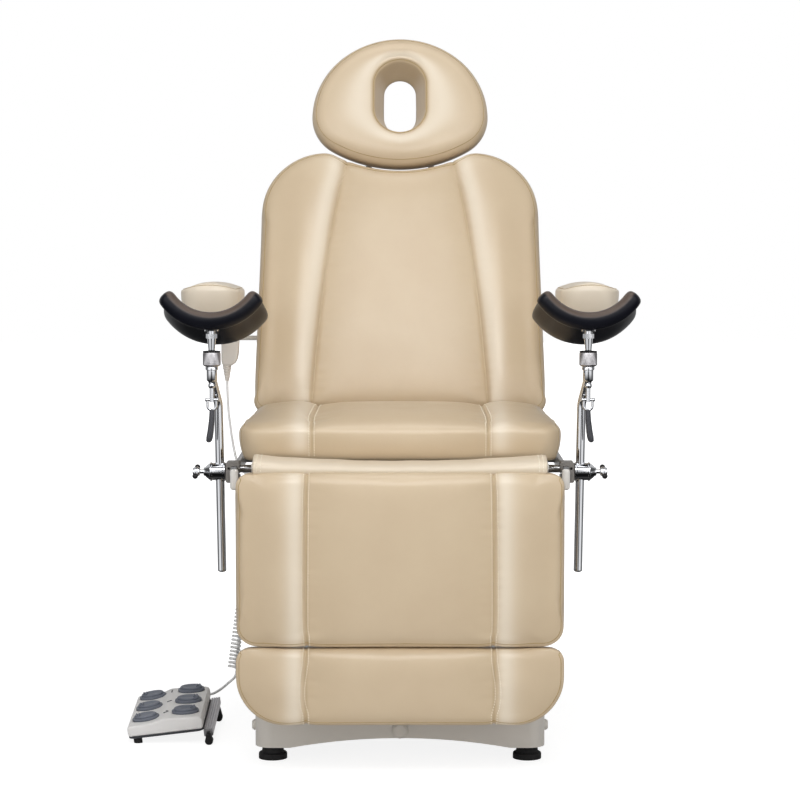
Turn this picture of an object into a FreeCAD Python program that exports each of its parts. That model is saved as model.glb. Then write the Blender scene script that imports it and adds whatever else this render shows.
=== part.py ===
import FreeCAD, Part
import math
import os
from FreeCAD import Vector

# Gynaecological examination chair on a lifting column, millimetres.
# X runs across the chair, Y from its front (foot end) to its rear, Z up.
# The origin is on the floor, in the middle of the width, 250 mm behind the seat's front edge.
# Every piece that comes in a pair is drawn on the +X side and mirrored.

# Fits
RUN_GAP = 0.3
SEAT_GAP = 0.05

# Upholstery
PAD_W = 620.0
SIDE_PULL = 10.0
PAD_TAPER = 3.0
OUTLINE_EASE = 6.0
LOFT_OVERRUN = 14.0
CHANNEL_W = 16.0
CHANNEL_SINK = 7.0
CHANNEL_LIP = 2.0

SEAT_TOP = 705.0
SEAT_T = 90.0
SEAT_FRONT = -250.0
SEAT_DEPTH = 450.0
SEAT_SEAM = 174.0
SEAT_EDGE_R = 34.0

LEG_T = 85.0
LEG_LEN = 335.0
LEG_SEAM = 184.0
LEG_BULGE = 6.0
LEG_EDGE_R = 24.0
LEG_TOP_GAP = 6.0

FOOT_LEN = 143.0
FOOT_CORNER_R = 78.0
FOOT_SEAM = 186.0
FOOT_GAP = 5.0
FOOT_PLATE_INSET = 100.0
FOOT_PLATE_LOW = 28.0
FOOT_PLATE_HIGH = 22.0

BACK_T = 90.0
BACK_LEN = 592.0
BACK_LEAN = 18.0
BACK_START = 36.0
BACK_SEAM_LOW = 182.0
BACK_SEAM_HIGH = 122.0
BACK_EDGE_R = 32.0
BACK_PANEL_INSET = 60.0
SHOULDER_R = 149.0
PEAK_R = 40.0
HOLLOW_R = 312.0

HEAD_W = 392.0
HEAD_LEN = 300.0
HEAD_T = 86.0
HEAD_EDGE_R = 34.0
HEAD_GAP = 9.0
HEAD_BASE_TURN = 31.0
HEAD_FLANK_TURN = 50.0
HEAD_TRAVEL = 80.0
FACE_HOLE_W = 112.0
FACE_HOLE_LEN = 164.0
FACE_HOLE_TAPER = 22.0
FACE_HOLE_CENTRE = 162.0

FLAP_INSET = 24.0
FLAP_T = 5.0
FLAP_SET = 1.0
FLAP_ROLL = 10.0

# Frame, hinges and rails
BOARD_T = 6.0
TUBE_W = 30.0
TUBE_H = 38.0
CROSS_TUBE_SET = 72.0
FRAME_HALF = 292.0
LEG_HINGE_DROP = 102.0
BACK_HINGE_DROP = 85.0
BACK_HINGE_Y = 268.0
HINGE_PIN_R = 6.0
HINGE_EYE_R = 10.0
BACK_EYE_R = 15.0
LUG_T = 8.0
LEG_RANGE = 88.0
BACK_RANGE = 70.0

RAIL_T = 10.0
RAIL_H = 25.0
RAIL_OUT = 30.0
RAIL_FRONT = -246.0
RAIL_LEN = 320.0
JAW_HALF = 20.0
JAW_LEVER_R = 5.5
JAW_LEVER_T = 7.0
JAW_LEVER_LEN = 30.0
JAW_LEVER_UP = 8.0
JAW_PIN_R = 2.5

# Lift column and base
LIFT = 230.0
COLUMN_Y = 80.0
OUTER_W = 180.0
OUTER_D = 140.0
COLUMN_WALL = 5.0
COLUMN_GAP = 5.0
OUTER_TOP = 445.0
GLIDE_LEN = 70.0
INNER_BOTTOM = 132.0
SCREW_R = 12.0

BASE_W = 584.0
BASE_FRONT = -195.0
BASE_LEN = 795.0
COVER_BOTTOM = 32.0
COVER_H = 118.0
COVER_WALL = 4.0
COVER_CORNER_R = 34.0
COVER_TOP_R = 16.0
ARCH_HALF = 222.0
ARCH_RISE = 20.0
BEAM_BOTTOM = 48.0
BEAM_H = 60.0
BEAM_W = 50.0
SPINE_W = 130.0
PLATE_T = 8.0
FOOT_X = 258.0
FOOT_FRONT_Y = -140.0
FOOT_REAR_Y = 545.0
FOOT_R = 29.0
FOOT_RIM_H = 13.0
FOOT_STEP_R = 23.0
FOOT_STEP_H = 11.0
FOOT_STUD_R = 6.0
CAP_R = 16.0
SIDE_CAP_R = 11.0
CAP_Z = 68.0

# Linear actuators beside the column
ACT_X = 150.0
ACT_BOX_W = 64.0
ACT_BOX_H = 56.0
ACT_TUBE_R = 19.0
ACT_ROD_R = 10.0
ACT_PIN_R = 6.0
ACT_FORK_W = 24.0
PIN_SLACK = 3.5
BACK_CRANK = 90.0
LEG_CRANK = 70.0

# Armrests
ARM_LEN = 405.0
ARM_W = 112.0
ARM_T = 60.0
ARM_OUT = 78.0
ARM_FRONT_Y = -45.0
ARM_FRONT_TOP = 951.0
ARM_RISE = 0.5
ARM_CORNER_R = 52.0
ARM_DISH = 4.0
ARM_BAR_W = 44.0
ARM_BAR_T = 10.0
ARM_PIVOT_UP = 258.0
ARM_PIVOT_BACK = 23.0
ARM_PIVOT_R = 9.0
ARM_BOSS_R = 18.0

# Knee supports on the accessory rails
CLAMP_Y = -215.0
BARREL_R = 19.0
BARREL_LEN = 51.0
NOSE_LEN = 12.0
NOSE_R = 10.0
SWIVEL_PIN_R = 8.0
ROD_R = 9.0
ROD_OUT = 33.0
ROD_SPLAY = 1.7
ROD_BOTTOM = 392.0
ROD_BEND = 728.0
STEM_OUT = 15.0
STEM_Y = -238.0
STEM_R = 10.5
STEM_LOW = 764.0
COLLAR_R = 19.5
COLLAR_LOW = 790.0
COLLAR_H = 46.0
BALL_R = 12.0
BALL_Z = 809.0
STUD_R = 5.0
STUD_FLARE = 3.5
NUT_LOW = 858.0
NUT_H = 9.0
NUT_AF = 19.0
FLANGE_R = 14.0
FLANGE_T = 10.0
LEVER_PIN_Z = 730.0
LEVER_PIN_R = 3.0
TONGUE_T = 8.0
CHEEK_T = 4.0
GRIP_DROP = 18.0
GRIP_LEN = 64.0
GRIP_R = 7.0
GRIP_BOW = 7.0
SCREW_SHANK_R = 6.0
SCREW_HUB_R = 9.0
SCREW_HUB_LEN = 16.0
T_BAR_R = 4.0
T_BAR_LEN = 84.0
T_KNOB_R = 6.5
T_BAR_TILT = 18.0
TROUGH_LEN = 195.0
TROUGH_TILT = 13.0
TROUGH_IN_R = 90.0
TROUGH_T = 22.0
TROUGH_LIP = 32.0
TROUGH_WRAP = 58.0
TROUGH_BACK = 52.0

# Foot control
BOX_LEFT = -566.0
BOX_NEAR = -15.0
BOX_W = 158.0
BOX_D = 215.0
BOX_H = 31.0
BOX_TILT = 7.0
BOX_PITCH = 6.0
BOX_CORNER_R = 14.0
BOX_EDGE_R = 6.0
BOX_WALL = 3.0
BOX_PLATE_T = 4.0
BOX_FOOT_H = 9.0
BOX_FOOT_R = 9.0
PEDAL_LEN = 56.0
PEDAL_W = 40.0
PEDAL_H = 14.0
PEDAL_PROUD = 8.0
PEDAL_STEP = 3.0
PEDAL_TRAVEL = 3.5
PEDAL_COLUMNS = (37.0, 121.0)
PEDAL_FIRST = 48.0
PEDAL_PITCH = 70.0
PEDAL_GAP = 0.5
NUB_R = 1.5
NUB_H = 1.6
NUB_PITCH = 5.0
BAR_W = 19.0
BAR_H = 16.0
BAR_DROP = 13.0
BAR_GROOVE = 2.0
BAR_END_T = 12.0
BAR_END_R = 8.5
BAR_END_RISE = 10.0

# Handset, control box and cords
HANDSET_W = 44.0
HANDSET_H = 92.0
HANDSET_T = 25.0
HANDSET_X = -365.0
HANDSET_Y = 236.0
HANDSET_LOW = 772.0
RELIEF_R = 8.0
RELIEF_TIP_R = 4.2
RELIEF_LEN = 32.0
RELIEF_RIBS = 6
BOX_RELIEF_LEN = 26.0
CONTROL_W = 80.0
CONTROL_L = 130.0
CONTROL_H = 44.0
CONTROL_INSET = 46.0
CONTROL_Y = 60.0
CORD_R = 2.7
COIL_R = 8.3
COIL_PITCH = 9.5
COIL_TURNS = 34
COIL_LEAD = 9.0
COIL_FOOT = Vector(-367.0, 235.0, 121.0)
COIL_LEAN = 5.2

# Worked-out levels and places
SEAT_BOTTOM = SEAT_TOP - SEAT_T
SEAT_REAR = SEAT_FRONT + SEAT_DEPTH
BOARD_BOTTOM = SEAT_BOTTOM - BOARD_T
TUBE_BOTTOM = BOARD_BOTTOM - TUBE_H
LEG_HINGE = Vector(0, SEAT_FRONT, SEAT_TOP - LEG_HINGE_DROP)
BACK_HINGE = Vector(0, BACK_HINGE_Y, SEAT_TOP - BACK_HINGE_DROP)
LEG_FACE = SEAT_FRONT - LEG_HINGE_DROP
LEG_REAR = LEG_FACE + LEG_T
LEG_PAD_TOP = LEG_HINGE.z - LEG_TOP_GAP
LEG_PAD_LOW = LEG_PAD_TOP - LEG_LEN
FOOT_LOW = LEG_PAD_LOW - FOOT_GAP - FOOT_LEN
RAIL_X = FRAME_HALF + RAIL_OUT
CONTROL_X = CONTROL_INSET - FRAME_HALF
GRIP_TOP = LEVER_PIN_Z - GRIP_DROP
ROD_X = RAIL_X + ROD_OUT
STEM_X = ROD_X + STEM_OUT
ARM_X = PAD_W / 2 + ARM_OUT
FLAP_HALF = PAD_W / 2 - FLAP_INSET
SHOULDER_X = PAD_W / 2 + OUTLINE_EASE - 2 * PAD_TAPER
PEAK_X = SHOULDER_X - SHOULDER_R
HOLLOW_REACH = HOLLOW_R + PEAK_R
BACK_DIP = HOLLOW_REACH - math.sqrt(HOLLOW_REACH ** 2 - PEAK_X ** 2)
RAIL_Z = SEAT_BOTTOM - 10.0 - RAIL_H / 2
COVER_TOP = COVER_BOTTOM + COVER_H
PLATE_TOP = BEAM_BOTTOM + BEAM_H + PLATE_T

parts = {}


def box(x0, x1, y0, y1, z0, z1):
    return Part.makeBox(x1 - x0, y1 - y0, z1 - z0, Vector(x0, y0, z0))


def bar(start, end, radius):
    return Part.makeCylinder(radius, (end - start).Length, start, end - start)


def cone(start, end, r_start, r_end):
    return Part.makeCone(r_start, r_end, (end - start).Length, start, end - start)


def rounded(shape, radius, direction):
    """Fillets the straight edges that run along a direction."""
    edges = []
    for edge in shape.Edges:
        if isinstance(edge.Curve, Part.Line):
            if abs(edge.Curve.Direction.dot(direction)) > 0.999:
                edges.append(edge)
    return shape.makeFillet(radius, edges)


def edges_at(shape, level):
    """Edges that lie wholly at one height."""
    found = []
    for edge in shape.Edges:
        limits = edge.BoundBox
        if abs(limits.ZMin - level) < 1e-4 and abs(limits.ZMax - level) < 1e-4:
            found.append(edge)
    return found


def mirrored(shape):
    return shape.mirror(Vector(0, 0, 0), Vector(1, 0, 0))


def pair(shape):
    return Part.Compound([shape, mirrored(shape)])


def fused(shapes):
    result = shapes[0].fuse(shapes[1:])
    return result.removeSplitter()


def laid(shape, angle, origin):
    """Turns a piece drawn flat (length along Y, face up) about X and sets its start at origin."""
    placed = shape.copy()
    placed.rotate(Vector(0, 0, 0), Vector(1, 0, 0), angle)
    placed.translate(origin)
    return placed


def arc(a, b, c):
    return Part.Arc(a, b, c).toShape()


def line(a, b):
    return Part.LineSegment(a, b).toShape()


# Upholstered pads

def pad_section(y, half, top, seam, bolster):
    """Closed section of a pad: flat base, drawn-in sides, two bolsters and a crowned middle panel."""
    base = half - SIDE_PULL
    shoulder = half - SIDE_PULL / 2
    edge_z = 0.72 * top
    outer = seam + CHANNEL_W / 2
    inner = seam - CHANNEL_W / 2
    lip = top - CHANNEL_LIP
    dip = top - CHANNEL_SINK
    side_mid = Vector(half, y, 0.4 * top)
    bolster_mid = Vector((shoulder + outer) / 2, y, top + bolster)

    def left(point):
        return Vector(-point.x, point.y, point.z)

    edge = Vector(shoulder, y, edge_z)
    lip_out = Vector(outer, y, lip)
    groove = Vector(seam, y, dip)
    lip_in = Vector(inner, y, lip)
    foot = Vector(base, y, 0)
    return Part.Wire([
        line(left(foot), foot),
        arc(foot, side_mid, edge),
        arc(edge, bolster_mid, lip_out),
        arc(lip_out, groove, lip_in),
        arc(lip_in, Vector(0, y, top + bolster / 2), left(lip_in)),
        arc(left(lip_in), left(groove), left(lip_out)),
        arc(left(lip_out), left(bolster_mid), left(edge)),
        arc(left(edge), left(side_mid), left(foot)),
    ])


def pad_blank(outline, height, edge_r, base_r):
    """Prism over a pad's outline, with its face edge and base edge rounded."""
    blank = Part.Face(outline).extrude(Vector(0, 0, height))
    blank = blank.makeFillet(edge_r, edges_at(blank, height))
    return blank.makeFillet(base_r, edges_at(blank, 0))


def pad_outline(half_low, half_high, length, r_low, r_high, bulge):
    """Rounded outline in plan; the sides bow out by bulge between the corners."""
    k = 1 - math.sqrt(0.5)
    low = Vector(half_low, r_low, 0)
    high = Vector(half_high, length - r_high, 0)
    side = Vector((half_low + half_high) / 2 + bulge, length / 2, 0)
    low_mid = Vector(half_low - r_low * k, r_low * k, 0)
    high_mid = Vector(half_high - r_high * k, length - r_high * k, 0)
    low_end = Vector(half_low - r_low, 0, 0)
    high_end = Vector(half_high - r_high, length, 0)

    def left(point):
        return Vector(-point.x, point.y, point.z)

    flank = line(low, high) if bulge == 0 else arc(low, side, high)
    left_flank = line(left(high), left(low)) if bulge == 0 else arc(left(high), left(side), left(low))
    return Part.Wire([
        line(left(low_end), low_end),
        arc(low_end, low_mid, low),
        flank,
        arc(high, high_mid, high_end),
        line(high_end, left(high_end)),
        arc(left(high_end), left(high_mid), left(high)),
        left_flank,
        arc(left(low), left(low_mid), left(low_end)),
    ])


def cushion(outline, length, halves, top, seams, drops, edge_r, bolster=5.0):
    """Pad whose crowned, channelled section runs its length just inside a rounded outline."""
    sections = []
    stations = (-LOFT_OVERRUN, length / 2, length + LOFT_OVERRUN)
    for y, half, seam, drop in zip(stations, halves, seams, drops):
        sections.append(pad_section(y, half, top - drop, seam, bolster))
    body = Part.makeLoft(sections, True, False)
    blank = pad_blank(outline, top + bolster, edge_r, SIDE_PULL)
    return body.common(blank).removeSplitter().Solids[0]


def seat_cushion():
    half = PAD_W / 2
    wide = half + OUTLINE_EASE
    outline = pad_outline(wide, wide - 2 * PAD_TAPER, SEAT_DEPTH, 46, 30, 0)
    halves = (half, half - PAD_TAPER, half - 2 * PAD_TAPER)
    pad = cushion(outline, SEAT_DEPTH, halves, SEAT_T, [SEAT_SEAM] * 3, (10, 0, 4), SEAT_EDGE_R)
    return laid(pad, 0, Vector(0, SEAT_FRONT, SEAT_BOTTOM))


def legrest_cushion():
    half = PAD_W / 2 - PAD_TAPER
    wide = half + OUTLINE_EASE
    outline = pad_outline(wide, wide, LEG_LEN, 26, 34, LEG_BULGE)
    pad = cushion(outline, LEG_LEN, (half, half + LEG_BULGE, half), LEG_T, [LEG_SEAM] * 3, (3, 0, 3),
                  LEG_EDGE_R, 4.0)
    return laid(pad, 90, Vector(0, LEG_REAR, LEG_PAD_LOW))


def footrest_cushion():
    half = PAD_W / 2 + LEG_BULGE
    wide = half + OUTLINE_EASE
    outline = pad_outline(wide, wide, FOOT_LEN, FOOT_CORNER_R, 18, 0)
    pad = cushion(outline, FOOT_LEN, [half] * 3, LEG_T, [FOOT_SEAM] * 3, (3, 0, 2), LEG_EDGE_R, 4.0)
    return laid(pad, 90, Vector(0, LEG_REAR, FOOT_LOW))


def back_frame_point(across, up, out):
    """Point on the leaning backrest: up along it from the hinge, out from the hinge towards the sitter."""
    lean = math.radians(BACK_LEAN)
    y = BACK_HINGE.y + up * math.sin(lean) - out * math.cos(lean)
    z = BACK_HINGE.z + up * math.cos(lean) + out * math.sin(lean)
    return Vector(across, y, z)


def on_back(shape, up, out):
    return laid(shape, 90 - BACK_LEAN, back_frame_point(0, up, out))


def back_outline():
    """Square-footed outline with round shoulders and a hollow top that takes the head pad."""
    half_low = PAD_W / 2 + OUTLINE_EASE
    half_high = SHOULDER_X
    corner = 30.0
    k = 1 - math.sqrt(0.5)
    hollow_y = BACK_LEN - BACK_DIP + HOLLOW_R
    peak_y = BACK_LEN - PEAK_R
    share = HOLLOW_R / HOLLOW_REACH
    touch_x = PEAK_X * share
    touch_y = hollow_y + (peak_y - hollow_y) * share
    swing = (math.pi / 2 + math.atan2(hollow_y - peak_y, -PEAK_X)) / 2

    def both(x, y):
        return Vector(x, y, 0), Vector(-x, y, 0)

    low_end, low_end_l = both(half_low - corner, 0)
    low_mid, low_mid_l = both(half_low - corner * k, corner * k)
    low, low_l = both(half_low, corner)
    high, high_l = both(half_high, BACK_LEN - SHOULDER_R)
    round_mid, round_mid_l = both(half_high - SHOULDER_R * k, BACK_LEN - SHOULDER_R * k)
    top, top_l = both(PEAK_X, BACK_LEN)
    tip, tip_l = both(PEAK_X + PEAK_R * math.cos(swing), peak_y + PEAK_R * math.sin(swing))
    dip, dip_l = both(touch_x, touch_y)
    return Part.Wire([
        line(low_end_l, low_end),
        arc(low_end, low_mid, low),
        line(low, high),
        arc(high, round_mid, top),
        arc(top, tip, dip),
        arc(dip, Vector(0, BACK_LEN - BACK_DIP, 0), dip_l),
        arc(dip_l, tip_l, top_l),
        arc(top_l, round_mid_l, high_l),
        line(high_l, low_l),
        arc(low_l, low_mid_l, low_end_l),
    ])


def back_cushion():
    seams = (BACK_SEAM_LOW, (BACK_SEAM_LOW + BACK_SEAM_HIGH) / 2 + 6, BACK_SEAM_HIGH)
    halves = (PAD_W / 2, PAD_W / 2 - PAD_TAPER, PAD_W / 2 - 2 * PAD_TAPER)
    pad = cushion(back_outline(), BACK_LEN, halves, BACK_T, seams, (4, 0, 6), BACK_EDGE_R)
    return on_back(pad, BACK_START, BACK_HINGE_DROP - BACK_T)


HEAD_START = BACK_START + BACK_LEN - BACK_DIP + HEAD_GAP


def curve_to(start, radius, heading, new_heading):
    """Middle and end of a left-hand arc from start, turning from one heading to another."""
    ends = []
    for h in ((heading + new_heading) / 2, new_heading):
        across = radius * (math.sin(h) - math.sin(heading))
        along = radius * (math.cos(heading) - math.cos(h))
        ends.append(start + Vector(across, along, 0))
    return ends


def head_outline():
    """Dome outline of smooth arcs; its base lies evenly in the hollow of the backrest."""
    half = HEAD_W / 2
    base_r = HOLLOW_R - HEAD_GAP
    base = math.radians(HEAD_BASE_TURN)
    flank = math.radians(HEAD_FLANK_TURN)
    base_mid, low = curve_to(Vector(0, 0, 0), base_r, 0, base)
    corner_r = (half - low.x) / (1 - math.sin(base))
    corner, side = curve_to(low, corner_r, base, math.pi / 2)
    c, n = math.cos(flank), math.sin(flank)
    rise = HEAD_LEN - side.y
    top_r = (half - (1 - c) * rise / n) / (c - (1 - c) * (1 - n) / n)
    flank_r = (rise - top_r * (1 - n)) / n
    flank_mid, upper = curve_to(side, flank_r, math.pi / 2, math.pi / 2 + flank)

    def left(point):
        return Vector(-point.x, point.y, point.z)

    return Part.Wire([
        arc(left(low), Vector(0, 0, 0), low),
        arc(low, corner, side),
        arc(side, flank_mid, upper),
        arc(upper, Vector(0, HEAD_LEN, 0), left(upper)),
        arc(left(upper), left(flank_mid), left(side)),
        arc(left(side), left(corner), left(low)),
    ])


def slot_wire(width, length, centre_y, z):
    """Upright slot with round ends, each end as two arcs."""
    r = width / 2
    run = length / 2 - r
    k = r * math.sqrt(0.5)
    high, low = centre_y + run, centre_y - run
    return Part.Wire([
        line(Vector(r, low, z), Vector(r, high, z)),
        arc(Vector(r, high, z), Vector(k, high + k, z), Vector(0, high + r, z)),
        arc(Vector(0, high + r, z), Vector(-k, high + k, z), Vector(-r, high, z)),
        line(Vector(-r, high, z), Vector(-r, low, z)),
        arc(Vector(-r, low, z), Vector(-k, low - k, z), Vector(0, low - r, z)),
        arc(Vector(0, low - r, z), Vector(k, low - k, z), Vector(r, low, z)),
    ])


def head_cushion():
    """Dome-shaped head pad with a tapered opening for the face."""
    pad = Part.Face(head_outline()).extrude(Vector(0, 0, HEAD_T))
    pad = pad.makeFillet(HEAD_EDGE_R, edges_at(pad, HEAD_T))
    pad = pad.makeFillet(SIDE_PULL, edges_at(pad, 0))
    narrow = 2 * FACE_HOLE_TAPER
    wide_wire = slot_wire(FACE_HOLE_W, FACE_HOLE_LEN, FACE_HOLE_CENTRE, HEAD_T + 1)
    deep_wire = slot_wire(FACE_HOLE_W - narrow, FACE_HOLE_LEN - narrow, FACE_HOLE_CENTRE, -1)
    pad = pad.cut(Part.makeLoft([deep_wire, wide_wire], True, True))
    return on_back(pad, HEAD_START, BACK_HINGE_DROP - BACK_T)


def seat_flap():
    """Leatherette strip that bridges the hinge between seat and leg rest in a soft roll."""
    seat_end = Vector(-FLAP_HALF, SEAT_FRONT - RUN_GAP, SEAT_BOTTOM + SIDE_PULL + FLAP_T + FLAP_SET)
    leg_end = Vector(-FLAP_HALF, LEG_FACE + LEG_EDGE_R, LEG_PAD_TOP + FLAP_T + FLAP_SET)
    crest = Vector(-FLAP_HALF, (SEAT_FRONT + LEG_FACE) / 2 - 6, SEAT_BOTTOM + FLAP_ROLL)
    drop = Vector(0, 0, -FLAP_T)
    profile = Part.Wire([
        arc(seat_end, crest, leg_end),
        line(leg_end, leg_end + drop),
        arc(leg_end + drop, crest + drop, seat_end + drop),
        line(seat_end + drop, seat_end),
    ])
    return Part.Face(profile).extrude(Vector(2 * FLAP_HALF, 0, 0))


def armrest_cushion():
    """Arm pad with a shallow dish along its top, on the +X side."""
    half = ARM_W / 2
    sections = []
    for y, top in ((0.0, ARM_T - 6), (ARM_LEN / 2, ARM_T), (ARM_LEN, ARM_T - 2)):
        rim = half - 26
        foot, edge = Vector(half - SIDE_PULL, y, 0), Vector(half - 4, y, 0.7 * top)
        ridge = Vector(rim, y, top)

        def left(point):
            return Vector(-point.x, point.y, point.z)

        swell = Vector(half - 12, y, 0.94 * top)
        sections.append(Part.Wire([
            line(left(foot), foot),
            arc(foot, Vector(half, y, 0.4 * top), edge),
            arc(edge, swell, ridge),
            arc(ridge, Vector(0, y, top - ARM_DISH), left(ridge)),
            arc(left(ridge), left(swell), left(edge)),
            arc(left(edge), Vector(-half, y, 0.4 * top), left(foot)),
        ]))
    body = Part.makeLoft(sections, True, False)
    outline = pad_outline(half + 2, half + 2, ARM_LEN, ARM_CORNER_R, 40, 0)
    pad = body.common(pad_blank(outline, ARM_T + 2, 16, SIDE_PULL)).Solids[0]
    low = ARM_FRONT_TOP - ARM_T * math.cos(math.radians(ARM_RISE))
    return laid(pad, ARM_RISE, Vector(ARM_X, ARM_FRONT_Y, low))


# Base, cover and lift column

def column_tube(half_x, half_y, wall, z0, z1):
    outer = rounded(box(-half_x, half_x, COLUMN_Y - half_y, COLUMN_Y + half_y, z0, z1), 14, Vector(0, 0, 1))
    inner_x, inner_y = half_x - wall, half_y - wall
    core = box(-inner_x, inner_x, COLUMN_Y - inner_y, COLUMN_Y + inner_y, z0 - 1, z1 + 1)
    return outer.cut(rounded(core, 14 - wall, Vector(0, 0, 1)))


def base_frame():
    """Spine and two cross beams, with the plate that the column stands on."""
    top = BEAM_BOTTOM + BEAM_H
    half = FOOT_X + BEAM_W / 2 - 4
    spine = box(-SPINE_W / 2, SPINE_W / 2, FOOT_FRONT_Y, FOOT_REAR_Y, BEAM_BOTTOM, top)
    pieces = [spine]
    for y in (FOOT_FRONT_Y, FOOT_REAR_Y):
        pieces.append(box(-half, half, y - BEAM_W / 2, y + BEAM_W / 2, BEAM_BOTTOM, top))
    plate_x, plate_y = OUTER_W / 2 + 14, OUTER_D / 2 + 14
    pieces.append(box(-plate_x, plate_x, COLUMN_Y - plate_y, COLUMN_Y + plate_y, top, PLATE_TOP))
    frame = fused(pieces)
    for x in (-FOOT_X, FOOT_X):
        for y in (FOOT_FRONT_Y, FOOT_REAR_Y):
            hole = bar(Vector(x, y, BEAM_BOTTOM - 1), Vector(x, y, top + 1), FOOT_STUD_R + SEAT_GAP)
            frame = frame.cut(hole)
    return frame


def levelling_feet():
    """Stepped rubber discs on threaded studs, under the four beam ends."""
    feet = []
    step_top = FOOT_RIM_H + FOOT_STEP_H
    for x in (-FOOT_X, FOOT_X):
        for y in (FOOT_FRONT_Y, FOOT_REAR_Y):
            rim = bar(Vector(x, y, 0), Vector(x, y, FOOT_RIM_H), FOOT_R)
            rim = rim.makeFillet(4, edges_at(rim, FOOT_RIM_H))
            step = cone(Vector(x, y, FOOT_RIM_H), Vector(x, y, step_top), FOOT_STEP_R, FOOT_STEP_R - 2)
            nut = bar(Vector(x, y, step_top), Vector(x, y, BEAM_BOTTOM), FOOT_STEP_R - 8)
            stud = bar(Vector(x, y, BEAM_BOTTOM), Vector(x, y, BEAM_BOTTOM + BEAM_H - 4), FOOT_STUD_R)
            feet.append(fused([rim, step, nut, stud]))
    return Part.Compound(feet)


def cover_block(inset, z0, z1):
    half = BASE_W / 2 - inset
    block = box(-half, half, BASE_FRONT + inset, BASE_FRONT + BASE_LEN - inset, z0, z1)
    block = rounded(block, COVER_CORNER_R - inset, Vector(0, 0, 1))
    return block.makeFillet(COVER_TOP_R - inset, edges_at(block, z1))


def base_cover():
    """Moulded shroud, open below, arched between the feet and cut out for the column."""
    shell = cover_block(0, COVER_BOTTOM, COVER_TOP)
    shell = shell.cut(cover_block(COVER_WALL, COVER_BOTTOM - 20, COVER_TOP - COVER_WALL))
    y0 = BASE_FRONT - 1
    arch = Part.Face(Part.Wire([
        line(Vector(ARCH_HALF, y0, COVER_BOTTOM), Vector(ARCH_HALF, y0, COVER_BOTTOM - 9)),
        line(Vector(ARCH_HALF, y0, COVER_BOTTOM - 9), Vector(-ARCH_HALF, y0, COVER_BOTTOM - 9)),
        line(Vector(-ARCH_HALF, y0, COVER_BOTTOM - 9), Vector(-ARCH_HALF, y0, COVER_BOTTOM)),
        arc(Vector(-ARCH_HALF, y0, COVER_BOTTOM), Vector(0, y0, COVER_BOTTOM + ARCH_RISE),
            Vector(ARCH_HALF, y0, COVER_BOTTOM)),
    ]))
    shell = shell.cut(arch.extrude(Vector(0, BASE_LEN + 2, 0)))
    hole_x, hole_y = OUTER_W / 2 + SEAT_GAP, OUTER_D / 2 + SEAT_GAP
    hole = box(-hole_x, hole_x, COLUMN_Y - hole_y, COLUMN_Y + hole_y, COVER_TOP - 20, COVER_TOP + 1)
    shell = shell.cut(rounded(hole, 14, Vector(0, 0, 1)))
    ribs = []
    for x in (-FOOT_X + 60, FOOT_X - 60):
        for y in (FOOT_FRONT_Y, FOOT_REAR_Y):
            low, high = BEAM_BOTTOM + BEAM_H, COVER_TOP - COVER_WALL
            ribs.append(box(x - 12, x + 12, y - 3, y + 3, low, high))
    return fused([shell] + ribs)


def cap(centre, outward, radius):
    """Domed push-in cap that hides a fixing screw."""
    disc = bar(centre, centre + outward * 4, radius)
    dome = cone(centre + outward * 4, centre + outward * 8, radius, radius * 0.72)
    stem = bar(centre - outward * COVER_WALL, centre, radius * 0.5)
    return fused([disc, dome, stem])


def cover_caps():
    side = BASE_W / 2
    side_y = BASE_FRONT + COVER_CORNER_R + 2 * SIDE_CAP_R
    return Part.Compound([
        cap(Vector(0, BASE_FRONT, CAP_Z), Vector(0, -1, 0), CAP_R),
        cap(Vector(side, side_y, CAP_Z), Vector(1, 0, 0), SIDE_CAP_R),
        cap(Vector(-side, side_y, CAP_Z), Vector(-1, 0, 0), SIDE_CAP_R),
    ])


def cover_with_cap_holes():
    cover = base_cover()
    side = BASE_W / 2
    side_y = BASE_FRONT + COVER_CORNER_R + 2 * SIDE_CAP_R
    reach = COVER_WALL + 1
    for centre, outward, radius in (
        (Vector(0, BASE_FRONT, CAP_Z), Vector(0, -1, 0), CAP_R),
        (Vector(side, side_y, CAP_Z), Vector(1, 0, 0), SIDE_CAP_R),
        (Vector(-side, side_y, CAP_Z), Vector(-1, 0, 0), SIDE_CAP_R),
    ):
        cover = cover.cut(bar(centre - outward * reach, centre + outward, radius * 0.5 + SEAT_GAP))
    return cover


INNER_W = OUTER_W - 2 * COLUMN_WALL - 2 * COLUMN_GAP
INNER_D = OUTER_D - 2 * COLUMN_WALL - 2 * COLUMN_GAP
NUT_PLATE_LOW = PLATE_TOP + 95.0
NUT_PLATE_T = 22.0


def column_outer():
    return column_tube(OUTER_W / 2, OUTER_D / 2, COLUMN_WALL, PLATE_TOP, OUTER_TOP)


def column_glide():
    """Plastic guide ring in the mouth of the outer tube."""
    ring = column_tube(OUTER_W / 2 - COLUMN_WALL, OUTER_D / 2 - COLUMN_WALL,
                       COLUMN_GAP - RUN_GAP, OUTER_TOP - GLIDE_LEN, OUTER_TOP)
    corner = OUTER_TOP - GLIDE_LEN - 1
    keep = box(-OUTER_W, OUTER_W, COLUMN_Y - OUTER_D, COLUMN_Y + OUTER_D, corner, OUTER_TOP)
    room = rounded(box(-OUTER_W / 2 + COLUMN_WALL, OUTER_W / 2 - COLUMN_WALL,
                       COLUMN_Y - OUTER_D / 2 + COLUMN_WALL, COLUMN_Y + OUTER_D / 2 - COLUMN_WALL,
                       corner, OUTER_TOP), 14 - COLUMN_WALL, Vector(0, 0, 1))
    return ring.common(keep).common(room)


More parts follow.
